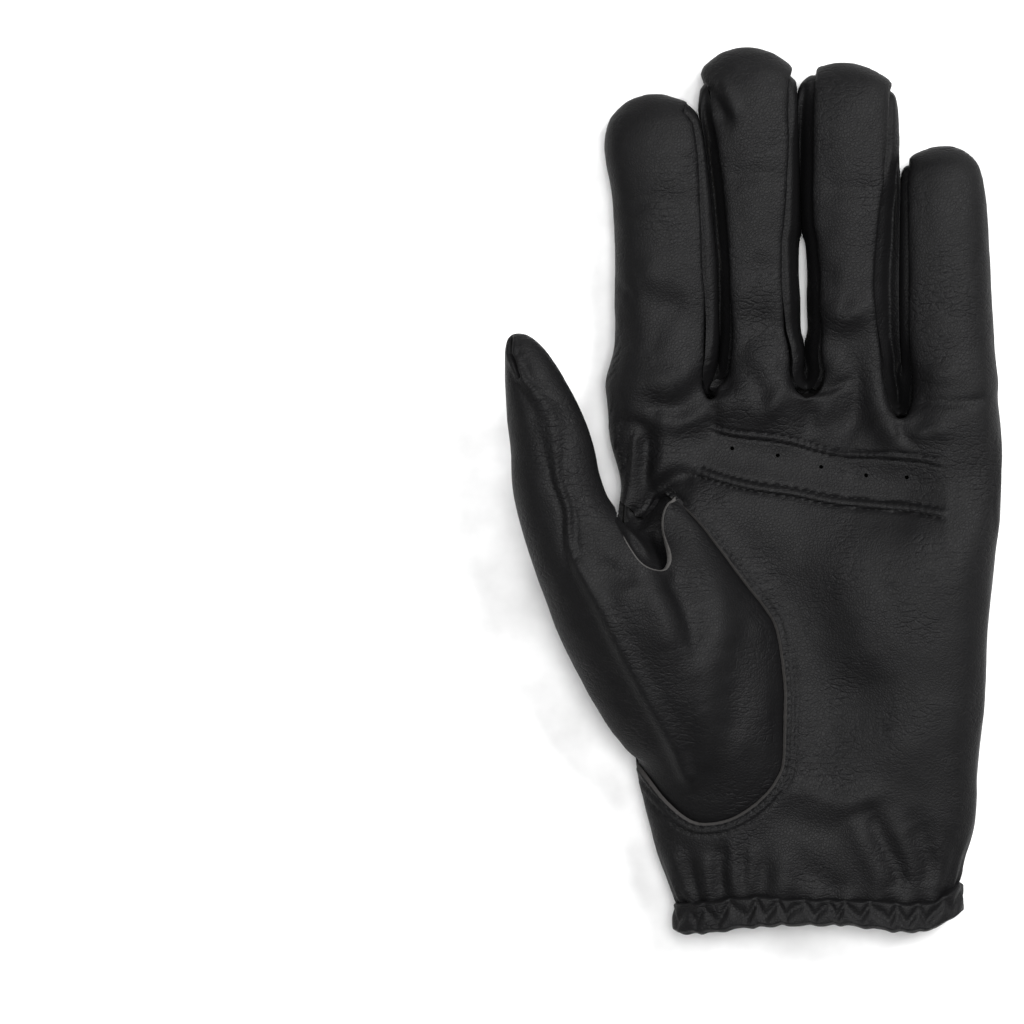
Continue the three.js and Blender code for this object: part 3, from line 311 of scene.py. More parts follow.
def column(table, value, at):
    """One column of a table, read at any place along its first column."""
    rows = np.array(sorted(table, key=lambda row: row[0]))
    return np.interp(at, rows[:, 0], rows[:, value])


def refine(table, step):
    """Catmull-Rom rows between the rows of a table, about one step apart."""
    rows = np.array(table, float)
    last = len(rows) - 1
    made = []
    for i in range(last):
        p0, p1, p2, p3 = (rows[min(max(k, 0), last)] for k in (i - 1, i, i + 1, i + 2))
        count = max(1, int(round(np.hypot(*(p2 - p1)[:2]) / step)))
        for t in np.arange(count) / count:
            made.append(0.5 * (2 * p1 + (p2 - p0) * t + (2 * p0 - 5 * p1 + 4 * p2 - p3) * t * t
                               + (3 * p1 - p0 - 3 * p2 + p3) * t ** 3))
    made.append(rows[-1])
    return np.array(made)


def line_distance(P, line):
    """Distance of points to a line, and the length run along it at the nearest place."""
    x, y = P[:, 0], P[:, 1]
    line = np.array(line, float)
    best = np.full(len(x), 1e9)
    run = np.zeros(len(x))
    start = 0.0
    for (ax, ay), (bx, by) in zip(line[:-1], line[1:]):
        dx, dy = bx - ax, by - ay
        size = max(math.hypot(dx, dy), 1e-9)
        t = np.clip(((x - ax) * dx + (y - ay) * dy) / size ** 2, 0, 1)
        away = np.hypot(x - ax - dx * t, y - ay - dy * t)
        run = np.where(away < best, start + t * size, run)
        best = np.minimum(best, away)
        start += size
    return best, run


def inside(P, outline):
    """Distance of points to an outline, positive inside it."""
    x, y = P[:, 0], P[:, 1]
    outline = np.array(outline, float)
    away, _ = line_distance(P, np.vstack([outline, outline[:1]]))
    odd = np.zeros(len(x), bool)
    for (ax, ay), (bx, by) in zip(outline, np.roll(outline, -1, axis=0)):
        if ay != by:
            odd ^= ((ay > y) != (by > y)) & (x < (bx - ax) * (y - ay) / (by - ay) + ax)
    return np.where(odd, away, -away)


def broad(x, y):
    """Height of the broad forms."""
    P = np.stack([x, y], 1)
    total = np.zeros(len(P))
    for x1, y1, x2, y2, reach, height in BROAD:
        total += height * bell(line_distance(P, [(x1, y1), (x2, y2)])[0], reach)
    return total


FOLD_STEP = 2.0  # length of the steps along a fold
FOLD_ENDS = 2.2  # a fold fades at its ends over this many reaches
FOLD_LIMIT = 3  # and is left out this many reaches away


def relief(P, folds):
    """Height that curved folds add; each fades towards its two ends."""
    x, y = P[:, 0], P[:, 1]
    total = np.zeros(len(x))
    for reach, height, line in folds:
        line = refine(line, FOLD_STEP)
        low, high = line.min(0) - FOLD_LIMIT * reach, line.max(0) + FOLD_LIMIT * reach
        near = np.flatnonzero((x > low[0]) & (x < high[0]) & (y > low[1]) & (y < high[1]))
        away, run = line_distance(P[near], line)
        length = np.hypot(*np.diff(line, axis=0).T).sum()
        over = FOLD_ENDS * reach
        total[near] += height * bell(away, reach) * (
            smooth((run + reach) / over) * smooth((length - run + reach) / over))
    return total


def lumps(points, size, seed):
    """Even noise at each point, about -1 to 1."""
    shift = Vector((seed * 7.3, seed * 3.1, seed * 5.7))
    return np.array([noise.noise(Vector(p) / size + shift) for p in points])


# The blended skin

ROUND_STEPS = 720  # steps round a section before its points are spaced evenly
LOFT_STEP = {"finger": 1.3, "hand": 1.6, "thumb": 1.3}
LOFT_SIDES = {"finger": 72, "hand": 180, "thumb": 96}
TOP_FROM, TOP_OVER = 0.15, 0.6  # share of a section's half height where the broad forms set in
WEB_BEND_FROM, WEB_BEND_OVER = 2.0, 24.0  # the hand's sections bend towards the webs above this y
CONTACT_SOFTNESS = 0.15
CONTACT_OVER = 4.0  # the contact of two fingers sets in over this length above the webs
CONTACT_FADE, CONTACT_FADES = 3.0, 2.5  # it fades over this width, and ends at so many of them
ROUNDS = {"all": 6, "bases": 14, "ball": 110, "last": 3}  # rounds of smoothing of the skin
BASES_FROM, BASES_TO, BASES_FADE = 4.0, 46.0, 12.0  # stretch of y in which the finger bases lie
BALL_MARGIN, BALL_FADE = 6.0, 8.0  # the ball is smoothed this far beyond its area
BALL_Z, BALL_Z_FADE = 13.0, 3.0  # and only above this level
KEEPS_VOLUME = -0.51  # step back of a round of smoothing
FINGER_MIDDLE = 1.5  # middle of the fingers, numbered 0 to 3


def section(left, right, high, power, count):
    """Evenly spaced points round a section: offset sideways and up."""
    angle = np.linspace(0, 2 * np.pi, ROUND_STEPS + 1)
    c, s = np.cos(angle), np.sin(angle)
    side = np.where(c < 0, left, right) * np.sign(c) * np.abs(c) ** (2 / power)
    up = high * np.sign(s) * np.abs(s) ** (2 / power)
    run = np.concatenate([[0], np.cumsum(np.hypot(np.diff(side), np.diff(up)))])
    at = np.arange(count) / count * run[-1]
    return np.interp(at, run, side), np.interp(at, run, up)


def raised(px, py, z, up, h):
    """Height of a section's points with the broad forms added on its upper side."""
    return z + up + broad(px, py) * smooth((up / h - TOP_FROM) / TOP_OVER)


def loft(rings):
    """Points and triangles of a closed solid through rings of equal count."""
    rings = np.array(rings)
    rows, count = rings.shape[:2]
    points = np.vstack([rings.reshape(-1, 3), rings[0].mean(0), rings[-1].mean(0)])
    i = np.arange(count)
    j = (i + 1) % count
    faces = []
    for r in range(rows - 1):
        a, b = r * count, (r + 1) * count
        faces += [np.stack([a + i, a + j, b + j], 1), np.stack([a + i, b + j, b + i], 1)]
    faces.append(np.stack([j, i, np.full(count, rows * count)], 1))
    end = (rows - 1) * count
    faces.append(np.stack([end + i, end + j, np.full(count, rows * count + 1)], 1))
    return points, np.vstack(faces)


def finger_solid(k):
    rings = []
    count = LOFT_SIDES["finger"]
    for y, x, z, w, h in refine(FINGERS[k], LOFT_STEP["finger"]):
        side, up = section(w, w, h, FINGER_POWER, count)
        px, py = x + side, np.full(count, y)
        apart = (k - FINGER_MIDDLE) * FINGER_SPREAD * smooth((y - SPREAD_FROM) / SPREAD_OVER)
        rings.append(np.stack([px + apart, py, np.maximum(raised(px, py, z, up, h), 0)], 1))
    return loft(rings)


def hand_solid():
    rings = []
    count = LOFT_SIDES["hand"]
    for y, x, z, w, h, power in refine(HAND, LOFT_STEP["hand"]):
        side, up = section(w, w, h, power, count)
        px, py = x + side, np.full(count, y)
        web = (column(KNUCKLES, 1, px) - HAND[0][0]) * smooth((y - WEB_BEND_FROM) / WEB_BEND_OVER)
        rings.append(np.stack([px, y + web, np.maximum(raised(px, py, z, up, h), 0)], 1))
    return loft(rings)


def thumb_solid():
    rows = refine(THUMB, LOFT_STEP["thumb"])
    rings = []
    for i, (x, y, z, left, right, h) in enumerate(rows):
        along = rows[max(i - 1, 0)][:2] - rows[min(i + 1, len(rows) - 1)][:2]
        along = along / np.hypot(*along)
        side, up = section(left, right, h, THUMB_POWER, LOFT_SIDES["thumb"])
        px, py = x + along[1] * side, y - along[0] * side
        rings.append(np.stack([px, py, raised(px, py, z, up, h)], 1))
    return loft(rings)


def corner_normals(points, faces):
    a, b, c = (points[faces[:, k], :3] for k in range(3))
    flat = np.cross(b - a, c - a)
    total = np.stack([sum(np.bincount(faces[:, k], flat[:, axis], len(points)) for k in range(3))
                      for axis in range(3)], 1)
    return total / np.maximum(np.linalg.norm(total, axis=1, keepdims=True), 1e-12)


def edges_of(faces):
    pairs = np.sort(faces[:, [0, 1, 1, 2, 2, 0]].reshape(-1, 2), axis=1)
    return np.unique(pairs, axis=0)


def relax(points, edges, rounds, weight=1.0, back=KEEPS_VOLUME):
    """Smooths a surface; with the step back it keeps its volume."""
    count = len(points)
    degree = np.bincount(edges.ravel(), minlength=count)[:, None]
    weight = np.broadcast_to(np.asarray(weight, float).reshape(-1, 1), (count, 1))
    near, far = edges.T
    for _ in range(rounds):
        for share in (0.5, back) if back else (0.5,):
            around = np.stack([np.bincount(near, points[far, k], count)
                               + np.bincount(far, points[near, k], count) for k in range(3)], 1)
            points = points + share * weight * (around / degree - points)
    return points


def finger_gap(k, y):
    """Middle between finger k and the next one."""
    left, right = FINGERS[k], FINGERS[k + 1]
    edge = column(left, 1, y) + column(left, 3, y)
    return (edge + column(right, 1, y) - column(right, 3, y)) / 2


def kept_apart(x, y, gap, right, closing=0.0):
    """Flattens neighbouring fingers softly where they touch, after closing the gap between them."""
    side = np.where(right, 1.0, -1.0)
    free = (x - gap) * side - closing
    free = 0.5 * (free + np.sqrt(free ** 2 + CONTACT_SOFTNESS ** 2))
    share = smooth((y - WEB_END) / CONTACT_OVER) * smooth(CONTACT_FADES - np.abs(x - gap) / CONTACT_FADE)
    return x + share * (gap + side * free - x)


def remeshed(solids):
    """Points and triangles of one skin round several solids."""
    points, faces, start = [], [], 0
    for p, f in solids:
        points.append(p)
        faces.append(f + start)
        start += len(p)
    mesh = bpy.data.meshes.new("skin_work")
    mesh.from_pydata(np.vstack(points).tolist(), [], np.vstack(faces).tolist())
    work = bpy.data.objects.new("skin_work", mesh)
    bpy.context.scene.collection.objects.link(work)
    remesh = work.modifiers.new("remesh", "REMESH")
    remesh.mode = "VOXEL"
    remesh.voxel_size = VOXEL
    solid = work.evaluated_get(bpy.context.evaluated_depsgraph_get()).to_mesh()
    solid.calc_loop_triangles()
    p = np.zeros(len(solid.vertices) * 3)
    solid.vertices.foreach_get("co", p)
    f = np.zeros(len(solid.loop_triangles) * 3, np.int32)
    solid.loop_triangles.foreach_get("vertices", f)
    bpy.data.objects.remove(work)
    bpy.data.meshes.remove(mesh)
    return p.reshape(-1, 3), f.reshape(-1, 3).astype(np.int64)


def blended_skin():
    """One smooth skin: the fingers are blended into the hand apart, then moved back together."""
    p, f = remeshed([finger_solid(k) for k in range(len(FINGERS))] + [hand_solid(), thumb_solid()])
    edges = edges_of(f)
    p = relax(p, edges, ROUNDS["all"])
    bases = smooth((p[:, 1] - BASES_FROM) / BASES_FADE) * smooth((BASES_TO - p[:, 1]) / BASES_FADE)
    p = relax(p, edges, ROUNDS["bases"], bases, 0)
    ball = smooth((inside(p, BALL_AREA) + BALL_MARGIN) / BALL_FADE)
    p = relax(p, edges, ROUNDS["ball"], ball * smooth((p[:, 2] - BALL_Z) / BALL_Z_FADE), 0)
    x, y = p[:, 0], p[:, 1]
    share = smooth((y - SPREAD_FROM) / SPREAD_OVER)
    gaps = [finger_gap(k, y) for k in range(len(FINGERS) - 1)]
    beyond = [x > gap + (k - 1) * FINGER_SPREAD * share for k, gap in enumerate(gaps)]
    x = x - (np.sum(beyond, axis=0) - FINGER_MIDDLE) * FINGER_SPREAD * share * (x > THUMB_SIDE)
    for gap, right in zip(gaps, beyond):
        x = kept_apart(x, y, gap, right)
    p = relax(np.stack([x, y, np.maximum(p[:, 2], 0)], 1), edges, ROUNDS["last"])
    p[:, 2] = np.maximum(p[:, 2], 0)
    return p, f


# Cutting: P holds x, y, z and the smooth normal of each point, F the triangles, M their middles

SNAP = 0.04  # a point this near to a cutting line counts as lying on it


def cut_edges(P, F, crossed, t_of):
    """Puts a point on each crossed edge of the triangles and splits them there."""
    ends = F[:, [0, 1, 1, 2, 2, 0]].reshape(-1, 3, 2)
    pairs, back = np.unique(np.sort(ends[crossed], axis=1), axis=0, return_inverse=True)
    t = t_of(pairs)[:, None]
    added = P[pairs[:, 0]] + (P[pairs[:, 1]] - P[pairs[:, 0]]) * t
    middle = np.full(crossed.shape, -1)
    middle[crossed] = len(P) + back.reshape(-1)
    count = crossed.sum(1)
    rows = np.arange(len(F))
    made = [F[count == 0]]
    one = rows[count == 1]
    k = np.argmax(crossed[one], axis=1)
    v, w, u = (F[one, (k + s) % 3] for s in range(3))
    m = middle[one, k]
    made += [np.stack([v, m, u], 1), np.stack([m, w, u], 1)]
    two = rows[count == 2]
    k = (np.argmin(crossed[two], axis=1) + 2) % 3
    v, w, u = (F[two, (k + s) % 3] for s in range(3))
    a, b = middle[two, k], middle[two, (k + 2) % 3]
    made += [np.stack([v, a, b], 1), np.stack([a, w, u], 1), np.stack([a, u, b], 1)]
    v, m = F[count == 3], middle[count == 3]
    made += [np.stack([v[:, 0], m[:, 0], m[:, 2]], 1), np.stack([m[:, 0], v[:, 1], m[:, 1]], 1),
             np.stack([m[:, 2], m[:, 1], v[:, 2]], 1), m]
    return np.vstack([P, added]), np.vstack(made)


def split(P, F, field, level=0.0):
    """Inserts the line where the field has that level, and returns the field at all points."""
    value = field(P) - level
    value = np.where(np.abs(value) < SNAP, 0.0, value)
    ends = F[:, [0, 1, 1, 2, 2, 0]].reshape(-1, 3, 2)
    crossed = value[ends[..., 0]] * value[ends[..., 1]] < 0
    known = len(P)
    P, F = cut_edges(P, F, crossed, lambda e: value[e[:, 0]] / (value[e[:, 0]] - value[e[:, 1]]))
    return P, F, np.concatenate([value, np.zeros(len(P) - known)])


def only_used(P, F):
    """Drops the points that no triangle uses."""
    used, back = np.unique(F, return_inverse=True)
    return P[used], back.reshape(-1, 3)


def clip(P, F, field):
    """Keeps the part where the field is positive."""
    P, F, value = split(P, F, field)
    return only_used(P, F[(value[F] >= 0).all(1) & (value[F].max(1) > 0)])


def finer(P, F, near):
    """Halves the edges of the triangles near a feature."""
    marked = near(P[F].mean(1))
    key = np.sort(F[:, [0, 1, 1, 2, 2, 0]].reshape(-1, 3, 2), axis=2)
    code = key[..., 0] * (len(P) + 1) + key[..., 1]
    crossed = np.isin(code, np.unique(code[marked]))
    return cut_edges(P, F, crossed, lambda e: np.full(len(e), 0.5))


def largest_part(F):
    """Triangles of the largest connected piece."""
    label = np.arange(F.max() + 1)
    edges = edges_of(F)
    while True:
        low = np.minimum(label[edges[:, 0]], label[edges[:, 1]])
        new = label.copy()
        np.minimum.at(new, edges[:, 0], low)
        np.minimum.at(new, edges[:, 1], low)
        new = new[new]
        if (new == label).all():
            break
        label = new
    names, counts = np.unique(label[F[:, 0]], return_counts=True)
    return F[label[F[:, 0]] == names[np.argmax(counts)]]


def rim_edges(F, count):
    """Edges that belong to one triangle only."""
    ends = F[:, [0, 1, 1, 2, 2, 0]].reshape(-1, 2)
    code = np.sort(ends, axis=1)
    code = code[:, 0] * (count + 1) + code[:, 1]
    _, first, uses = np.unique(code, return_index=True, return_counts=True)
    return ends[first[uses == 1]]


# Fields of the seams, all positive towards the inside of what they bound

WELT_STEP, FORK_STEP, TEARDROP_STEP, POCKET_STEP = 1.5, 2, 1.5, 1  # along the refined lines
PANEL_UNDER_HEM = 0.6  # how far the panels reach under the hem
FORK_LINES = {name: refine(line, FORK_STEP) for name, line in FORKS.items()}
FORK_OUTLINES = {name: np.vstack([line, FORK_ENDS[name]]) for name, line in FORK_LINES.items()}
TEARDROP_LINE = refine(TEARDROP, TEARDROP_STEP)
POCKET_LINE = refine(POCKET_EDGE, POCKET_STEP)
BEYOND = [(-90, TEARDROP[-1][1]), (-90, 60)]
THUMB_OUTLINE = np.vstack([TEARDROP_LINE, BEYOND, THUMB_GAP[:-1], POCKET_LINE[:-1]])
GUSSET_OUTLINE = np.vstack([POCKET_LINE, POCKET_TOP[1:-1]])


def side_field(P):
    return P[:, 2] - column(SIDE_SEAM, 1, P[:, 1])


def fork_field(P, name):
    return inside(P, FORK_OUTLINES[name])


def no_fork(P):
    return -np.max([fork_field(P, name) for name in FORKS], axis=0)


def thumb_field(P):
    return np.minimum(inside(P, THUMB_OUTLINE), P[:, 2] - SIDE_OPENING_Z)


def gusset_field(P):
    return np.minimum(inside(P, GUSSET_OUTLINE), P[:, 2] - SIDE_OPENING_Z)


def hole_field(P):
    return np.min([np.hypot(P[:, 0] - x, P[:, 1] - y) for x, y in VENT_HOLES], axis=0) - HOLE_RADIUS


def above_cuff(P):
    return P[:, 1] - column(HEM_LINE, 1, P[:, 0]) + PANEL_UNDER_HEM


def palm_field(P):
    upper = np.minimum(np.minimum(side_field(P), no_fork(P)), above_cuff(P))
    return np.minimum(upper, -np.maximum(thumb_field(P), gusset_field(P)))


def back_field(P):
    return np.minimum(np.minimum(-side_field(P), no_fork(P)), above_cuff(P))


# Heights along the normals. Profiles across a seam: distance from it, height there

GROOVE = [(0, -1.2), (0.25, -0.7), (0.5, -0.2), (0.9, 0.08), (1.8, 0.14), (4, 0)]
STEP = [(0, -1.35), (0.45, -1.3), (0.9, -0.6), (1.4, -0.3), (2.4, -0.2), (4.5, 0)]
LAP = [(0, -0.45), (0.3, 0.1), (0.65, 0.42), (1.1, 0.3), (2, 0.5), (3, 0.26), (3.9, 0.42), (8, 0)]
LAP_ONE_ROW = [(0, -0.45), (0.3, 0.1), (0.65, 0.4), (1.5, 0.22), (2.3, 0.4), (6.5, 0)]
UNDER = [(-3, -1.3), (-0.2, -1.1), (0, -0.75), (1.5, -0.35), (5, 0)]
LIP = [(0, -0.7), (0.35, 0), (0.8, 0.3), (1.6, 0.2), (4, 0)]

# Welts: the raised cord's height, half width and power; height, place and half width of the stitch line
# pressed in beside it and of the pucker of its stitches; lengths over which the two ends fade
WELTS = [
    {"line": UPPER_WELT, "cord": (0.4, 0.6, 2), "dent": (-0.3, 1.05, 0.35),
     "pucker": (0.04, 0.7, 0.5), "ends": (4, 5)},
    {"line": LOWER_WELT, "cord": (0.6, 1, 4), "dent": (-0.45, 1.4, 0.4),
     "pucker": (0.09, 0.8, 0.6), "ends": (4, 3)},
]
WELT_PITCH = 2.1  # length of the stitches of the welts
FORK_PUCKER = (0.04, 0.8, 0.5, 1.9)  # height, distance from the seam, half width, pitch
SIDE_GROOVE = 0.8  # depth of the side seam as a share of the forks'
SWELLS = [(0.28, 13.0, 1), (0.12, 5.0, 2)]  # slow swells of the leather: height, size, seed
GATHER_HEIGHT, GATHER_REACH = 0.5, 5.0  # gathers above the cuff and how far up they reach
GATHER_UNEVEN, GATHER_GROUPS = 0.8, 5
FLAT_BELOW = 4.0  # the swells fade towards the floor below this level
UP_FROM, UP_OVER = 0.05, 0.6  # upward part of the normal from which a place counts as facing up
CUFF_NIP, CUFF_NIP_REACH = 0.8, 1.2  # how far the seam of the hem draws the leather in
WRIST_X, WRIST_Z, WRIST_HALF, WRIST_HIGH, WRIST_POWER = HAND[-1][1:]

# Palm's edge over the thumb piece: stretch along it that has two rows of stitches, and over which
# length the second row sets in; distances of the rows, half width and depth of a pressed row
TWO_ROWS_FROM, TWO_ROWS_TO, TWO_ROWS_OVER = 48.0, 128.0, 8.0
INNER_ROW, ONLY_ROW, OUTER_ROW = 1.1, 1.5, 3.0
ROW_HALF, ROW_DEPTH, ROW_LEAST = 0.42, 0.3, 0.35  # a row is pressed in least between two stitches
LAP_OVER = 1.5  # height over which the edge sets in above the opening for the thumb

# Dips straight down: depth and reach
NOTCH_DIP, NOTCH_REACH, NOTCH_OVER = 3.4, 3.6, 3.0  # the palm towards the notch, fading to the left
NOTCH_LINE, NOTCH_LEFT = POCKET_TOP[:6], -35.0
GUSSET_INSET, GUSSET_DROP = 1.35, 4.4  # the gusset below its neighbours, along the normal and down
GUSSET_DIP, GUSSET_REACH = 2.4, 3.0  # and deeper along the bottom of the notch
GUSSET_LEFT, GUSSET_OVER = -35.4, 4.0
VALLEY_FLOOR, VALLEY_OVER = 1.0, 15.0  # heights over which the strips sink, so no wall folds over
SHARED_REACH = 5.0  # how far the palm's folds run on into the thumb piece


def profile(rows, distance):
    rows = np.array(rows)
    return np.interp(distance, rows[:, 0], rows[:, 1], right=0.0)


def up_share(P):
    """How far a place faces up, 0 to 1."""
    return smooth((P[:, 5] - UP_FROM) / UP_OVER)


def welt_height(P):
    """Raised cords of the two welts, with the stitch lines pressed in beside them."""
    total = np.zeros(len(P))
    for welt in WELTS:
        away, run = line_distance(P, refine(welt["line"], WELT_STEP))
        height, half, power = welt["cord"]
        shape = height * np.exp(-(away / half) ** power)
        height, place, half = welt["dent"]
        shape += height * bell(away - place, half)
        height, place, half = welt["pucker"]
        shape += height * np.cos(run * 2 * np.pi / WELT_PITCH) * bell(away - place, half)
        begin, end = welt["ends"]
        total += shape * (smooth(run / begin) * smooth((run.max() - run) / end))
    return total


def general_form(P):
    """Slow swells all over and the gathers that fade up from the cuff."""
    swell = sum(height * lumps(P[:, :3], size, seed) for height, size, seed in SWELLS)
    angle = np.arctan2((P[:, 2] - WRIST_Z) / WRIST_HIGH, (P[:, 0] - WRIST_X) / WRIST_HALF)
    above = np.maximum(above_cuff(P), 0)
    wave = np.cos(angle * GATHERS + GATHER_UNEVEN * np.sin(angle * GATHER_GROUPS))
    gather = GATHER_HEIGHT * wave * np.exp(-above / GATHER_REACH)
    return swell * smooth(P[:, 2] / FLAT_BELOW) + gather - CUFF_NIP * np.exp(-above / CUFF_NIP_REACH)


def moved(P, height):
    """Moves points along their normals, keeping fingers apart and the glove above the floor."""
    Q = P[:, :3] + P[:, 3:6] * height[:, None]
    for k in range(len(FINGERS) - 1):
        gap = finger_gap(k, P[:, 1])
        closing = np.interp(P[:, 1], *np.array(FINGER_TOUCH[k]).T)
        Q[:, 0] = kept_apart(Q[:, 0], P[:, 1], gap, P[:, 0] > gap, closing)
    Q[:, 2] = np.maximum(Q[:, 2], 0.0)
    return Q


def fork_seams(P, names=tuple(FORKS), shape=GROOVE):
    """Groove along the forks' seams with the small pucker of the stitches."""
    away, run = np.full(len(P), 99.0), np.zeros(len(P))
    for name in names:
        d, r = line_distance(P, FORK_LINES[name])
        run = np.where(d < away, r, run)
        away = np.minimum(away, d)
    height, place, half, pitch = FORK_PUCKER
    return profile(shape, away) + height * np.cos(run * 2 * np.pi / pitch) * bell(away - place, half)


def back_height(P):
    side = SIDE_GROOVE * profile(GROOVE, np.abs(side_field(P)))
    return fork_seams(P) + side + general_form(P)


def teardrop_seam(P):
    """Palm's edge over the thumb piece, with the rows of stitches pressed in."""
    away, run = line_distance(P, TEARDROP_LINE)
    two = smooth((run - TWO_ROWS_FROM) / TWO_ROWS_OVER) * smooth((TWO_ROWS_TO - run) / TWO_ROWS_OVER)
    lap = profile(LAP, away) * two + profile(LAP_ONE_ROW, away) * (1 - two)
    inner = np.where(two > 0.5, INNER_ROW, ONLY_ROW)
    row = bell(away - inner, ROW_HALF) + two * bell(away - OUTER_ROW, ROW_HALF)
    row *= ROW_LEAST + (1 - ROW_LEAST) * np.cos(np.pi * run / STITCH_PITCH) ** 4
    above = P[:, 2] - SIDE_OPENING_Z
    return lap * smooth(above / LAP_OVER) - ROW_DEPTH * row * (above > 0)


def palm_height(P):
    form = (FOLD_SHARE * relief(P, PALM_FOLDS) + welt_height(P)) * up_share(P)
    return form + teardrop_seam(P) + back_height(P)


def palm_sink(P):
    """How far the palm dips towards the notch."""
    pocket, _ = line_distance(P, NOTCH_LINE)
    dip = NOTCH_DIP * bell(pocket, NOTCH_REACH) * smooth((P[:, 0] - NOTCH_LEFT) / NOTCH_OVER)
    return dip * smooth((P[:, 2] - SIDE_OPENING_Z) / NOTCH_OVER)


def strip_height(P, name):
    return fork_seams(P, [name], STEP) + general_form(P)


def valley(P, name):
    """How far the strips sink between two fingers, on the upper side only."""
    middle, half, depth = (column(VALLEYS[name], k, P[:, 1]) for k in (1, 2, 3))
    sunk = depth * np.clip(1 - np.abs(P[:, 0] - middle) / half, 0, 1)
    sunk -= FOLD_SHARE * relief(P, PALM_FOLDS)
    return sunk * smooth((P[:, 2] - VALLEY_FLOOR) / VALLEY_OVER)


# Closing seam of the thumb: its ridge widens at one place, has pleats, a dent on both sides, and gapes
# at the tip
RIDGE = {"height": 0.62, "half": 1.0, "wider": 1.1, "wide_at": 18, "wide_reach": 8, "dent": 0.35,
         "dent_at": 1.9}
PLEATS = {"height": 0.11, "pitch": 1.15, "uneven": 2.2, "every": 0.9, "slant": 0.9, "groups": 1.7}
RIDGE_BEGIN, RIDGE_END = 3, 16  # lengths over which the ridge fades
GAPE_LIP = (0.35, 1.0, 0.7)  # height, distance from the middle, half width
GAPE_DEPTH, GAPE_HALF = 1.1, 0.4


def closing_ridge(P):
    """Ridge of the thumb's closing seam with its small pleats, and the gaping part at the tip."""
    away, run = line_distance(P, refine(CLOSING_SEAM, 1.0))
    wide = RIDGE["half"] + RIDGE["wider"] * bell(run - RIDGE["wide_at"], RIDGE["wide_reach"])
    fade = smooth((run + 1) / RIDGE_BEGIN) * smooth((run.max() - run) / RIDGE_END)
    wave = np.cos(2 * np.pi * run / PLEATS["pitch"] + PLEATS["uneven"] * np.sin(run * PLEATS["every"])
                  + PLEATS["slant"] * away)
    wave *= 0.5 + 0.5 * np.sin(run * PLEATS["groups"] + 1.0)
    ridge = (RIDGE["height"] + PLEATS["height"] * wave) * bell(away, wide)
    ridge -= RIDGE["dent"] * bell(away - RIDGE["dent_at"] * wide, wide)
    tip, _ = line_distance(P, refine(TIP_SEAM, 1.0))
    height, place, half = GAPE_LIP
    return ridge * fade + height * bell(tip - place, half) - GAPE_DEPTH * bell(tip, GAPE_HALF)


def thumb_height(P):
    """Thumb piece: below the palm along the teardrop, with a lip of its own along the notch."""
    tear, _ = line_distance(P, TEARDROP_LINE)
    pocket, _ = line_distance(P, POCKET_LINE)
    within = inside(P, THUMB_OUTLINE) >= 0
    on_seam = smooth(pocket - tear + 0.5)
    edge = profile(UNDER, np.where(within, tear, -tear)) * on_seam + profile(LIP, pocket) * (1 - on_seam)
    shared = relief(P, PALM_FOLDS) * np.exp(-np.where(within, tear, 0) / SHARED_REACH)
    form = (FOLD_SHARE * (relief(P, THUMB_FOLDS) + shared) + closing_ridge(P)) * up_share(P)
    return form + edge + general_form(P)


def gusset_height(P):
    return FOLD_SHARE * relief(P, PALM_FOLDS) * up_share(P) - GUSSET_INSET


def gusset_sink(P):
    deep, _ = line_distance(P, POCKET_BOTTOM)
    drop = GUSSET_DROP + GUSSET_DIP * bell(deep, GUSSET_REACH)
    return drop * up_share(P) * smooth((P[:, 0] - GUSSET_LEFT) / GUSSET_OVER)


# Materials. Scales are features per metre, depths are metres

BLACK = (0.0033, 0.0032, 0.0035)
LEATHER_SPECULAR, PLAIN_SPECULAR = 0.12, 0.15
WARP_SCALE, WARP = 260.0, 0.0012  # bends the lines of the grain
CELL_SCALE, CELL_EDGE, CELL_DEPTH = 1250.0, 0.22, 0.000045
CREASE_SCALE, CREASE_EDGE, CREASE_DEPTH = (280.0, 640.0, 450.0), 0.16, 0.000085
FINE_SCALE, FINE_DEPTH = 2600.0, 0.000032
PATCH_SCALE, PATCH_FROM, PATCH_TO = 75.0, 0.42, 0.62  # where the creases show
GLOSS_CHANGE = 0.04
LEATHER_TONES, FIBRE_TONES = (0.8, 1.3), (0.6, 1.4)  # darkest and lightest share of the colour
LEATHERS = {"palm_leather": 0.54, "back_leather": 0.54, "strip_leather": 0.58, "thumb_leather": 0.54,
            "hem_leather": 0.56}  # roughness of each


def add(tree, kind, inputs, **settings):
    """Outputs of a new shader node; its inputs are given values or linked to other outputs."""
    made = tree.nodes.new("ShaderNode" + kind)
    for key, value in settings.items():
        setattr(made, key, value)
    for key, value in inputs.items():
        if isinstance(value, bpy.types.NodeSocket):
            tree.links.new(value, made.inputs[key])
        else:
            made.inputs[key].default_value = value
    return made.outputs


def new_material(name, specular):
    """New material with its node tree, its shader and the place on the piece in metres."""
    material = bpy.data.materials.new(name)
    material.use_nodes = True
    tree = material.node_tree
    shader = tree.nodes["Principled BSDF"]
    shader.inputs["Specular IOR Level"].default_value = specular
    return material, tree, shader, add(tree, "TexCoord", {})["Object"]


def noise_at(tree, place, scale, detail):
    return add(tree, "TexNoise", {"Vector": place, "Scale": scale, "Detail": detail})["Fac"]


def cell_edges(tree, place, scale, edge):
    """0 on the lines between cells, 1 inside them."""
    cells = add(tree, "TexVoronoi", {"Vector": place, "Scale": scale}, feature="DISTANCE_TO_EDGE")
    return add(tree, "MapRange", {"Value": cells["Distance"], "From Max": edge})["Result"]


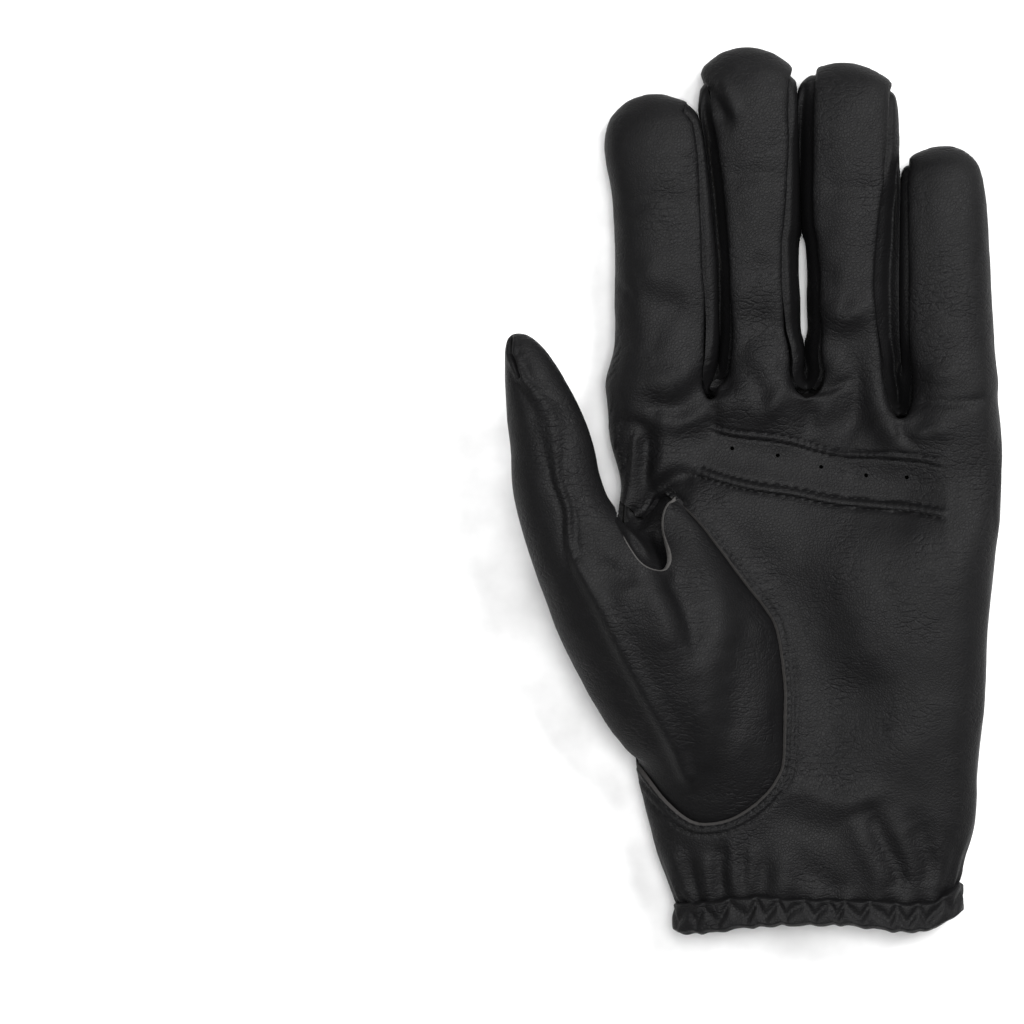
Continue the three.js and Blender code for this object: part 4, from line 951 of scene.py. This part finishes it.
def toned(tree, share, colour, tones):
    """Changes between a darker and a lighter tone of a colour."""
    dark, light = ((*[c * tone for c in colour], 1) for tone in tones)
    return add(tree, "Mix", {"A": dark, "B": light, "Factor": share}, data_type="RGBA")["Result"]


def leather(name, roughness):
    """Fine-grained leather: cells, small creases and a slow change of colour and gloss."""
    material, tree, shader, place = new_material(name, LEATHER_SPECULAR)
    warp = add(tree, "TexNoise", {"Vector": place, "Scale": WARP_SCALE, "Detail": 2.0})["Color"]
    bent = add(tree, "VectorMath", {0: warp, 1: (WARP,) * 3, 2: place}, operation="MULTIPLY_ADD")["Vector"]
    cells = cell_edges(tree, bent, CELL_SCALE, CELL_EDGE)
    squeezed = add(tree, "Mapping", {"Vector": bent, "Scale": CREASE_SCALE})["Vector"]
    creases = cell_edges(tree, squeezed, 1.0, CREASE_EDGE)
    patches = noise_at(tree, place, PATCH_SCALE, 3.0)
    creased = add(tree, "MapRange", {"Value": patches, "From Min": PATCH_FROM,
                                     "From Max": PATCH_TO})["Result"]
    fine = noise_at(tree, place, FINE_SCALE, 2.0)
    normal = {}
    for height, depth, strength in ((creases, CREASE_DEPTH, creased), (cells, CELL_DEPTH, 1.0),
                                    (fine, FINE_DEPTH, 1.0)):
        bump = add(tree, "Bump", {"Height": height, "Distance": depth, "Strength": strength, **normal})
        normal = {"Normal": bump["Normal"]}
    gloss = add(tree, "MapRange", {"Value": cells, "To Min": roughness + GLOSS_CHANGE,
                                   "To Max": roughness - GLOSS_CHANGE})["Result"]
    tree.links.new(normal["Normal"], shader.inputs["Normal"])
    tree.links.new(gloss, shader.inputs["Roughness"])
    tree.links.new(toned(tree, patches, BLACK, LEATHER_TONES), shader.inputs["Base Color"])
    return material


def plain(name, colour, roughness, scale, depth):
    """Matt surface with a fine fibre, for suede, cut edges, thread and the floor."""
    material, tree, shader, place = new_material(name, PLAIN_SPECULAR)
    shader.inputs["Roughness"].default_value = roughness
    fibre = noise_at(tree, place, scale, 4.0)
    bump = add(tree, "Bump", {"Height": fibre, "Distance": depth})["Normal"]
    tree.links.new(bump, shader.inputs["Normal"])
    tree.links.new(toned(tree, fibre, colour, FIBRE_TONES), shader.inputs["Base Color"])
    return material


leathers = {name: leather(name, roughness) for name, roughness in LEATHERS.items()}
suede = plain("suede_inside", (0.0065, 0.0061, 0.0058), 0.9, 900.0, 0.0001)
cut_edge = plain("cut_edge", (0.027, 0.0255, 0.0248), 0.8, 1500.0, 0.00005)
worn_edge = plain("worn_edge", (0.055, 0.0525, 0.051), 0.8, 1500.0, 0.00005)
thread = plain("thread", (0.006, 0.006, 0.006), 0.55, 3000.0, 0.00003)


# Making objects

SKIN_FACE, INNER_FACE, RIM_FACE = 0, 1, 2
CREASE_ANGLE, HEM_CREASE_ANGLE = 50, 60  # degrees from which an edge is sharp
RIM_ROUNDS = 3  # rounds of smoothing of the normals along a cut
surfaces = {}  # outer side of each piece, for what is sewn on it


def closed(outer, normals, F, thickness):
    """Gives a surface its thickness. Returns points, triangles and the kind of each triangle."""
    inner = outer - normals * thickness
    inner[:, 2] = np.maximum(inner[:, 2], LEAST_INSIDE)
    n = len(outer)
    rim = rim_edges(F, n)
    quads = np.vstack([np.stack([rim[:, 1], rim[:, 0], rim[:, 0] + n], 1),
                       np.stack([rim[:, 1], rim[:, 0] + n, rim[:, 1] + n], 1)])
    kind = np.repeat([SKIN_FACE, INNER_FACE, RIM_FACE], [len(F), len(F), len(quads)])
    return np.vstack([outer, inner]), np.vstack([F, F[:, ::-1] + n, quads]), kind


def make(name, points, faces, materials, material_index=None, sharp=None):
    mesh = bpy.data.meshes.new(name)
    mesh.vertices.add(len(points))
    mesh.vertices.foreach_set("co", (np.asarray(points) * MM).astype(np.float32).ravel())
    mesh.loops.add(len(faces) * 3)
    mesh.loops.foreach_set("vertex_index", np.asarray(faces, np.int32).ravel())
    mesh.polygons.add(len(faces))
    mesh.polygons.foreach_set("loop_start", np.arange(0, len(faces) * 3, 3, dtype=np.int32))
    mesh.update(calc_edges=True)
    mesh.validate()
    mesh.shade_smooth()
    if sharp:
        mesh.set_sharp_from_angle(angle=math.radians(sharp))
    for material in materials:
        mesh.materials.append(material)
    if material_index is not None:
        mesh.polygons.foreach_set("material_index", np.asarray(material_index, np.int32))
    piece = bpy.data.objects.new(name, mesh)
    bpy.context.scene.collection.objects.link(piece)
    return piece


def dress(piece, cad_node=None):
    """Ties a piece to the body and hides the CAD node that it stands for."""
    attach(piece, "root")
    if cad_node:
        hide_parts(cad_node)


def leather_piece(name, P, F, height, slot, cad_node, edge=None, edge_material=cut_edge, sink=None,
                  calm=0, thickness=LEATHER):
    """Moves a cut part of the skin by its height field, gives it thickness and makes the piece."""
    P, F = only_used(P, largest_part(F))
    Q = moved(P, height(P))
    if sink:
        Q[:, 2] -= sink(P)
    free = np.ones(len(Q))
    free[rim_edges(F, len(Q))] = 0.0
    Q = relax(Q, edges_of(F), calm, free, 0)
    N = relax(corner_normals(Q, F), edges_of(F), RIM_ROUNDS, 1 - free, 0)
    N /= np.linalg.norm(N, axis=1, keepdims=True)
    points, faces, kind = closed(Q, N, F, thickness)
    index = np.where(kind == INNER_FACE, 1, 0)
    if edge:
        index[kind == SKIN_FACE] = np.where(edge(P[F].mean(1)), 2, 0)
        index[kind == RIM_FACE] = np.where(edge(P[faces[kind == RIM_FACE] % len(Q)].mean(1)), 2, 0)
    piece = make(name, points, faces, [leathers[slot], suede, edge_material], index, CREASE_ANGLE)
    surfaces[name] = BVHTree.FromPolygons(Q.tolist(), F.tolist())
    dress(piece, cad_node)


# The pieces

CUT_MARGIN = 1.5  # a piece is cut out this much larger, made finer along its seams and then cut exactly
# How near to a feature the triangles are made finer
NEAR_SEAM, NEAR_WELT, NEAR_TEARDROP, NEAR_POCKET, NEAR_RIDGE, NEAR_TIP = 0.8, 2.2, 1.7, 2, (4, 3), 2
NEAR_HOLE = (2.5, 1.8, 1.2)  # rings of ever finer triangles round a vent hole
PALM_EDGE_LINES, PALM_EDGE = (0.25, 0.5), 0.5  # lines inserted along the palm's edge; its bare width
THUMB_EDGE_LINES, THUMB_EDGE = (0.35, 0.8), 0.78  # the same of the thumb piece along the notch
THUMB_EDGE_FROM = -34.4  # right of this its edge is worn
THUMB_MARGIN, THUMB_NEAR_SEAM = 3.0, 1.3
THUMB_UNDER_PALM = 1.2  # how far the thumb piece reaches under the palm
STRIP_FINE_ABOVE = 8.0
GUSSET_MARGIN, GUSSET_BELOW = 2.6, 4.0  # how far the gusset reaches under its neighbours and below
STRIP_CALM, GUSSET_CALM = 5, 8  # rounds of smoothing after the move


def facing_up(M):
    return M[:, 5] > 0


def on_palm_edge(M):
    return (line_distance(M, TEARDROP_LINE)[0] < PALM_EDGE) & (M[:, 2] > SIDE_OPENING_Z)


def palm_piece():
    """Palm and finger fronts, with the opening for the thumb and the vent holes."""
    P, F = clip(SKIN, skin_faces, lambda p: palm_field(p) + CUT_MARGIN)
    P, F = finer(P, F, lambda M: facing_up(M) & (
        (np.abs(palm_field(M)) < NEAR_SEAM)
        | (np.min([line_distance(M, welt["line"])[0] for welt in WELTS], axis=0) < NEAR_WELT)))
    P, F = finer(P, F, lambda M: facing_up(M) & (thumb_field(M) < 0)
                 & (np.abs(line_distance(M, TEARDROP_LINE)[0] - NEAR_TEARDROP) < NEAR_TEARDROP))
    for radius in NEAR_HOLE:
        P, F = finer(P, F, lambda M: hole_field(M) < radius)
    for field in (palm_field, hole_field):
        P, F = clip(P, F, field)
    for level in PALM_EDGE_LINES:
        P, F, _ = split(P, F, lambda p: -thumb_field(p), level)
    leather_piece("palm_leather", P, F, palm_height, "palm_leather", "palm_panel", on_palm_edge,
                  sink=palm_sink)


def back_piece():
    """Back of the hand and of the fingers."""
    P, F = clip(SKIN, skin_faces, back_field)
    leather_piece("back_leather", P, F, back_height, "back_leather", "back_panel")


def strip_piece(name):
    """Forked strip between two fingers."""
    P, F = clip(SKIN, skin_faces, lambda p: fork_field(p, name) + CUT_MARGIN)
    P, F = finer(P, F, lambda M: M[:, 2] > STRIP_FINE_ABOVE)
    P, F = clip(P, F, lambda p: fork_field(p, name))
    leather_piece("strip_" + name, P, F, lambda p: strip_height(p, name), "strip_leather",
                  "fourchette_" + name, sink=lambda p: valley(p, name), calm=STRIP_CALM)


def thumb_outline_field(P):
    """The thumb piece reaches under the palm's cut edge, but ends at the notch."""
    pocket, _ = line_distance(P, POCKET_LINE)
    tear, _ = line_distance(P, TEARDROP_LINE)
    field = inside(P, THUMB_OUTLINE) + np.where(tear < pocket, THUMB_UNDER_PALM, 0.0)
    return np.minimum(field, P[:, 2] - SIDE_OPENING_Z)


def on_thumb_edge(M):
    return (line_distance(M, POCKET_LINE)[0] < THUMB_EDGE) & (M[:, 0] > THUMB_EDGE_FROM)


def thumb_piece():
    """Teardrop set into the palm and the thumb in one."""
    P, F = clip(SKIN, skin_faces, lambda p: thumb_field(p) + THUMB_MARGIN)
    P, F = finer(P, F, lambda M: (np.abs(thumb_field(M)) < THUMB_NEAR_SEAM)
                 | (line_distance(M, POCKET_LINE)[0] < NEAR_POCKET))
    for reach in NEAR_RIDGE:
        P, F = finer(P, F, lambda M: facing_up(M) & (np.minimum(
            line_distance(M, CLOSING_SEAM)[0] / reach, line_distance(M, TIP_SEAM)[0] / NEAR_TIP) < 1))
    P, F = clip(P, F, thumb_outline_field)
    for level in THUMB_EDGE_LINES:
        P, F, _ = split(P, F, thumb_outline_field, level)
    leather_piece("thumb_leather", P, F, thumb_height, "thumb_leather", "thumb", on_thumb_edge, worn_edge)


def gusset_piece():
    """Sunk insert at the bottom of the notch."""
    P, F = clip(SKIN, skin_faces, lambda p: np.minimum(
        inside(p, GUSSET_OUTLINE) + GUSSET_MARGIN, p[:, 2] - SIDE_OPENING_Z + GUSSET_BELOW))
    leather_piece("gusset_leather", P, F, gusset_height, "strip_leather", "thumb_gusset",
                  sink=gusset_sink, calm=GUSSET_CALM, thickness=GUSSET_WALL)


# Section of the hem from its seam round its lower edge and back up inside: share of its length, outwards
HEM_SECTION = [(0, -0.6), (0.03, 0.2), (0.1, 0.8), (0.2, 1), (0.8, 1), (0.92, 0.8), (1, 0.1),
               (1.02, -0.7), (0.98, -1.3), (0.85, -1.7), (0.3, -1.8), (-0.1, -1.6)]
HEM_STEP = 0.035
HEM_COLUMNS = 12  # to each gather
HEM_INSIDE, HEM_INSIDE_Z = -1.0, 1.2  # the inner side of the band and its least height above the floor
UNEVEN_GATHERS = [(0.12, 2.1), (0.08, 5.3)]
# Zigzag stitch that presses the band in: its upper turns, its swing and its half width as shares of the
# band's length, its depth below the puffs beside it, and how much of that lies below the plain band
ZIGZAG_TOP, ZIGZAG_SWING, ZIGZAG_HALF, ZIGZAG_DEPTH, ZIGZAG_LOW = 0.16, 0.54, 0.233, 0.9, 0.5
EVEN_ENDS = 0.1  # share of the band at each edge over which the zigzag fades
OUTER_FROM = -0.4  # from here outwards the section is the outer side
WEDGE, RIPPLE = 0.25, 0.25  # pleats along the band, and the waves of its lower edge
RIPPLE_FROM = 0.6


def hem_piece():
    """Gathered band round the wrist."""
    columns = GATHERS * HEM_COLUMNS
    side, up = section(WRIST_HALF, WRIST_HALF, WRIST_HIGH, WRIST_POWER, columns)
    outward = np.stack([np.roll(up, -1) - np.roll(up, 1), np.roll(side, 1) - np.roll(side, -1)], 1)
    outward /= np.linalg.norm(outward, axis=1, keepdims=True)
    part = np.arange(columns) / columns * GATHERS
    part = part + sum(swing * np.sin(part * often) for swing, often in UNEVEN_GATHERS)
    top = column(HEM_LINE, 1, WRIST_X + side)
    length = top - column(CUFF_EDGE, 1, WRIST_X + side)
    zigzag = ZIGZAG_TOP + ZIGZAG_SWING * np.abs((part % 1.0) * 2 - 1)
    rings = []
    for along, out in refine(HEM_SECTION, HEM_STEP):
        puff = ZIGZAG_DEPTH * (1 - bell(along - zigzag, ZIGZAG_HALF)) - ZIGZAG_LOW
        wedge = WEDGE * np.cos(part * 2 * np.pi) * (along - 0.5) * 2
        pressed = puff * smooth(along / EVEN_ENDS) * smooth((1 - along) / EVEN_ENDS)
        o = out + smooth(out - OUTER_FROM) * (pressed + wedge)
        ripple = RIPPLE * np.sin(part * 2 * np.pi) * smooth((along - RIPPLE_FROM) / (1 - RIPPLE_FROM))
        px = WRIST_X + side + outward[:, 0] * o
        pz = np.maximum(WRIST_Z + up + outward[:, 1] * o, 0.0 if out > HEM_INSIDE else HEM_INSIDE_Z)
        rings.append(np.stack([px, top - length * along + ripple, pz], 1))
    i = np.arange(columns)
    j = (i + 1) % columns
    faces = []
    for r in range(len(rings)):
        a, b = r * columns, ((r + 1) % len(rings)) * columns
        faces += [np.stack([a + i, b + j, a + j], 1), np.stack([a + i, b + i, b + j], 1)]
    piece = make("hem_leather", np.vstack(rings), np.vstack(faces), [leathers["hem_leather"]], None,
                 HEM_CREASE_ANGLE)
    dress(piece, "cuff_hem")


STITCH_RADIUS, STITCH_SIDES, STITCH_STATIONS = 0.17, 6, 5
STITCH_END = 0.35  # thickness at a stitch's ends, and how far they dip, as a share of its radius
# Kinds of rows on the palm: a stitch's length, the pitch and how far the thread lies above the leather
WELT_STITCH = (1.3, WELT_PITCH, -0.07)
UPPER_WELT_STITCH = (1.0, WELT_PITCH, -0.12)
SEAM_STITCH = (1.3, STITCH_PITCH, -0.05)
TACK_STITCH = (1.0, 1.25, -0.02)
WELT_ROW, UPPER_WELT_ROW = 1.4, 1.05  # distances of the rows from the welts
# Rows along the teardrop: distance from its edge, and their stretch, counted in millimetre points
TEARDROP_ROWS = [(ONLY_ROW, 3, 46), (INNER_ROW, 46, None), (OUTER_ROW, 46, 126)]
HIGH_ABOVE = 70.0
TACKS = [[(-25.2, 1), (-21, 0.6)], [(-23.6, -0.2), (-20.2, -0.8)], [(-22.6, 2), (-20, -1)]]


def on_palm(x, y):
    """The palm's place and normal there, seen from above."""
    return surfaces["palm_leather"].ray_cast(Vector((x, y, HIGH_ABOVE)), Vector((0, 0, -1)))[:2]


def row_of_stitches(line, length, pitch, lift):
    """Stitches along a line on the palm, each with its two ends and the normal there."""
    line = refine(line, 0.5)
    run = np.concatenate([[0], np.cumsum(np.hypot(*np.diff(line[:, :2], axis=0).T))])
    made = []
    at = pitch / 2
    while at + length / 2 < run[-1]:
        ends = [on_palm(*(np.interp(where, run, line[:, k]) for k in (0, 1)))
                for where in (at - length / 2, at + length / 2)]
        if all(hit is not None for hit, _ in ends):
            (a, normal_a), (b, normal_b) = ends
            a, b = a + normal_a * lift, b + normal_b * lift
            if abs(a.z - b.z) < length:
                made.append((a, b, (normal_a + normal_b).normalized()))
        at += pitch
    return made


def beside(line, distance):
    """A line beside another one, to the left of its run, with a point about every millimetre."""
    line = refine(line, 1.0)[:, :2]
    along = np.gradient(line, axis=0)
    along /= np.linalg.norm(along, axis=1, keepdims=True)
    return line + np.stack([-along[:, 1], along[:, 0]], 1) * distance


def stitch(a, b, normal):
    """Points and faces of one small rounded stitch from a to b."""
    along = b - a
    length = along.length
    along.normalize()
    across = along.cross(normal).normalized()
    up = across.cross(along)
    points, faces, sides = [], [], STITCH_SIDES
    for s in range(STITCH_STATIONS):
        t = s / (STITCH_STATIONS - 1)
        arch = math.sin(math.pi * t)
        size = STITCH_RADIUS * (STITCH_END + (1 - STITCH_END) * arch ** 0.5)
        middle = a + along * (length * t) - up * (STITCH_END * STITCH_RADIUS * (1 - arch))
        for k in range(sides):
            angle = 2 * math.pi * k / sides
            points.append(middle + across * (size * math.cos(angle)) + up * (size * math.sin(angle)))
    for s in range(STITCH_STATIONS - 1):
        for k in range(sides):
            m = (k + 1) % sides
            p, q = s * sides, (s + 1) * sides
            faces += [(p + k, p + m, q + m), (p + k, q + m, q + k)]
    end = (STITCH_STATIONS - 1) * sides
    for k in range(1, sides - 1):
        faces += [(0, k + 1, k), (end, end + k, end + k + 1)]
    return points, faces


def palm_stitches():
    """Thread beside the welts, along the teardrop and at its upper point."""
    rows = row_of_stitches(beside(UPPER_WELT, -UPPER_WELT_ROW), *UPPER_WELT_STITCH)
    for distance in (WELT_ROW, -WELT_ROW):
        rows += row_of_stitches(beside(LOWER_WELT, distance), *WELT_STITCH)
    for distance, first, last in TEARDROP_ROWS:
        rows += row_of_stitches(beside(TEARDROP, distance)[first:last], *SEAM_STITCH)
    for tack in TACKS:
        rows += row_of_stitches(tack, *TACK_STITCH)
    points, faces = [], []
    for row in rows:
        new_points, new_faces = stitch(*row)
        faces.append(np.array(new_faces) + len(points))
        points += [tuple(p) for p in new_points]
    dress(make("palm_stitches", np.array(points), np.vstack(faces), [thread]))


skin_points, skin_faces = blended_skin()
SKIN = np.hstack([skin_points, corner_normals(skin_points, skin_faces)])
palm_piece()
back_piece()
for fork in FORKS:
    strip_piece(fork)
thumb_piece()
gusset_piece()
hem_piece()
palm_stitches()


# Camera, floor and light, in metres

PHOTO_SIZE = 1024
PIXEL = 0.265 * MM
ORIGIN_PIXEL = (752, 490.5)
CAMERA_HEIGHT = 2.4
SCALE_LEVEL = 0.014  # height at which a pixel of the photo has its size
SENSOR = 36.0
FLOOR_HALF, FLOOR_BELOW = 3, 0.0002
LIGHTS = [  # name, place, size, power; each points at the origin
    ("key", (1.8, 1.5, 2.5), 1.5, 142),
    ("top", (0.1, 0.2, 3.3), 1.2, 96),
    ("fill", (-1.8, -0.2, 2.8), 1.8, 22),
]
WORLD_LIGHT = 0.17


def add_camera():
    """Looks straight down, the middle of the photo in the middle of the view."""
    data = bpy.data.cameras.new("camera")
    data.sensor_width = SENSOR
    data.lens = SENSOR * (CAMERA_HEIGHT - SCALE_LEVEL) / (PHOTO_SIZE * PIXEL)
    camera = bpy.data.objects.new("camera", data)
    right, down = (PHOTO_SIZE / 2 - at for at in ORIGIN_PIXEL)
    camera.location = (right * PIXEL, -down * PIXEL, CAMERA_HEIGHT)
    bpy.context.scene.collection.objects.link(camera)
    bpy.context.scene.camera = camera


def add_floor():
    far = FLOOR_HALF
    mesh = bpy.data.meshes.new("floor")
    mesh.from_pydata([(-far, -far, 0), (far, -far, 0), (far, far, 0), (-far, far, 0)], [], [(0, 1, 2, 3)])
    mesh.materials.append(plain("pale_floor", (0.86, 0.86, 0.86), 0.9, 40.0, 0.00001))
    floor = bpy.data.objects.new("floor", mesh)
    floor.location.z = -FLOOR_BELOW
    bpy.context.scene.collection.objects.link(floor)


def add_light(name, place, size, power):
    data = bpy.data.lights.new(name, "AREA")
    data.shape = "SQUARE"
    data.size = size
    data.energy = power
    lamp = bpy.data.objects.new(name, data)
    lamp.location = place
    lamp.rotation_euler = (-Vector(place)).to_track_quat("-Z", "Y").to_euler()
    bpy.context.scene.collection.objects.link(lamp)


add_camera()
add_floor()
for light in LIGHTS:
    add_light(*light)
world = bpy.data.worlds.new("world")
bpy.context.scene.world = world
world.use_nodes = True
world.node_tree.nodes["Background"].inputs["Color"].default_value = (1, 1, 1, 1)
world.node_tree.nodes["Background"].inputs["Strength"].default_value = WORLD_LIGHT
bpy.context.scene.view_settings.view_transform = "Standard"
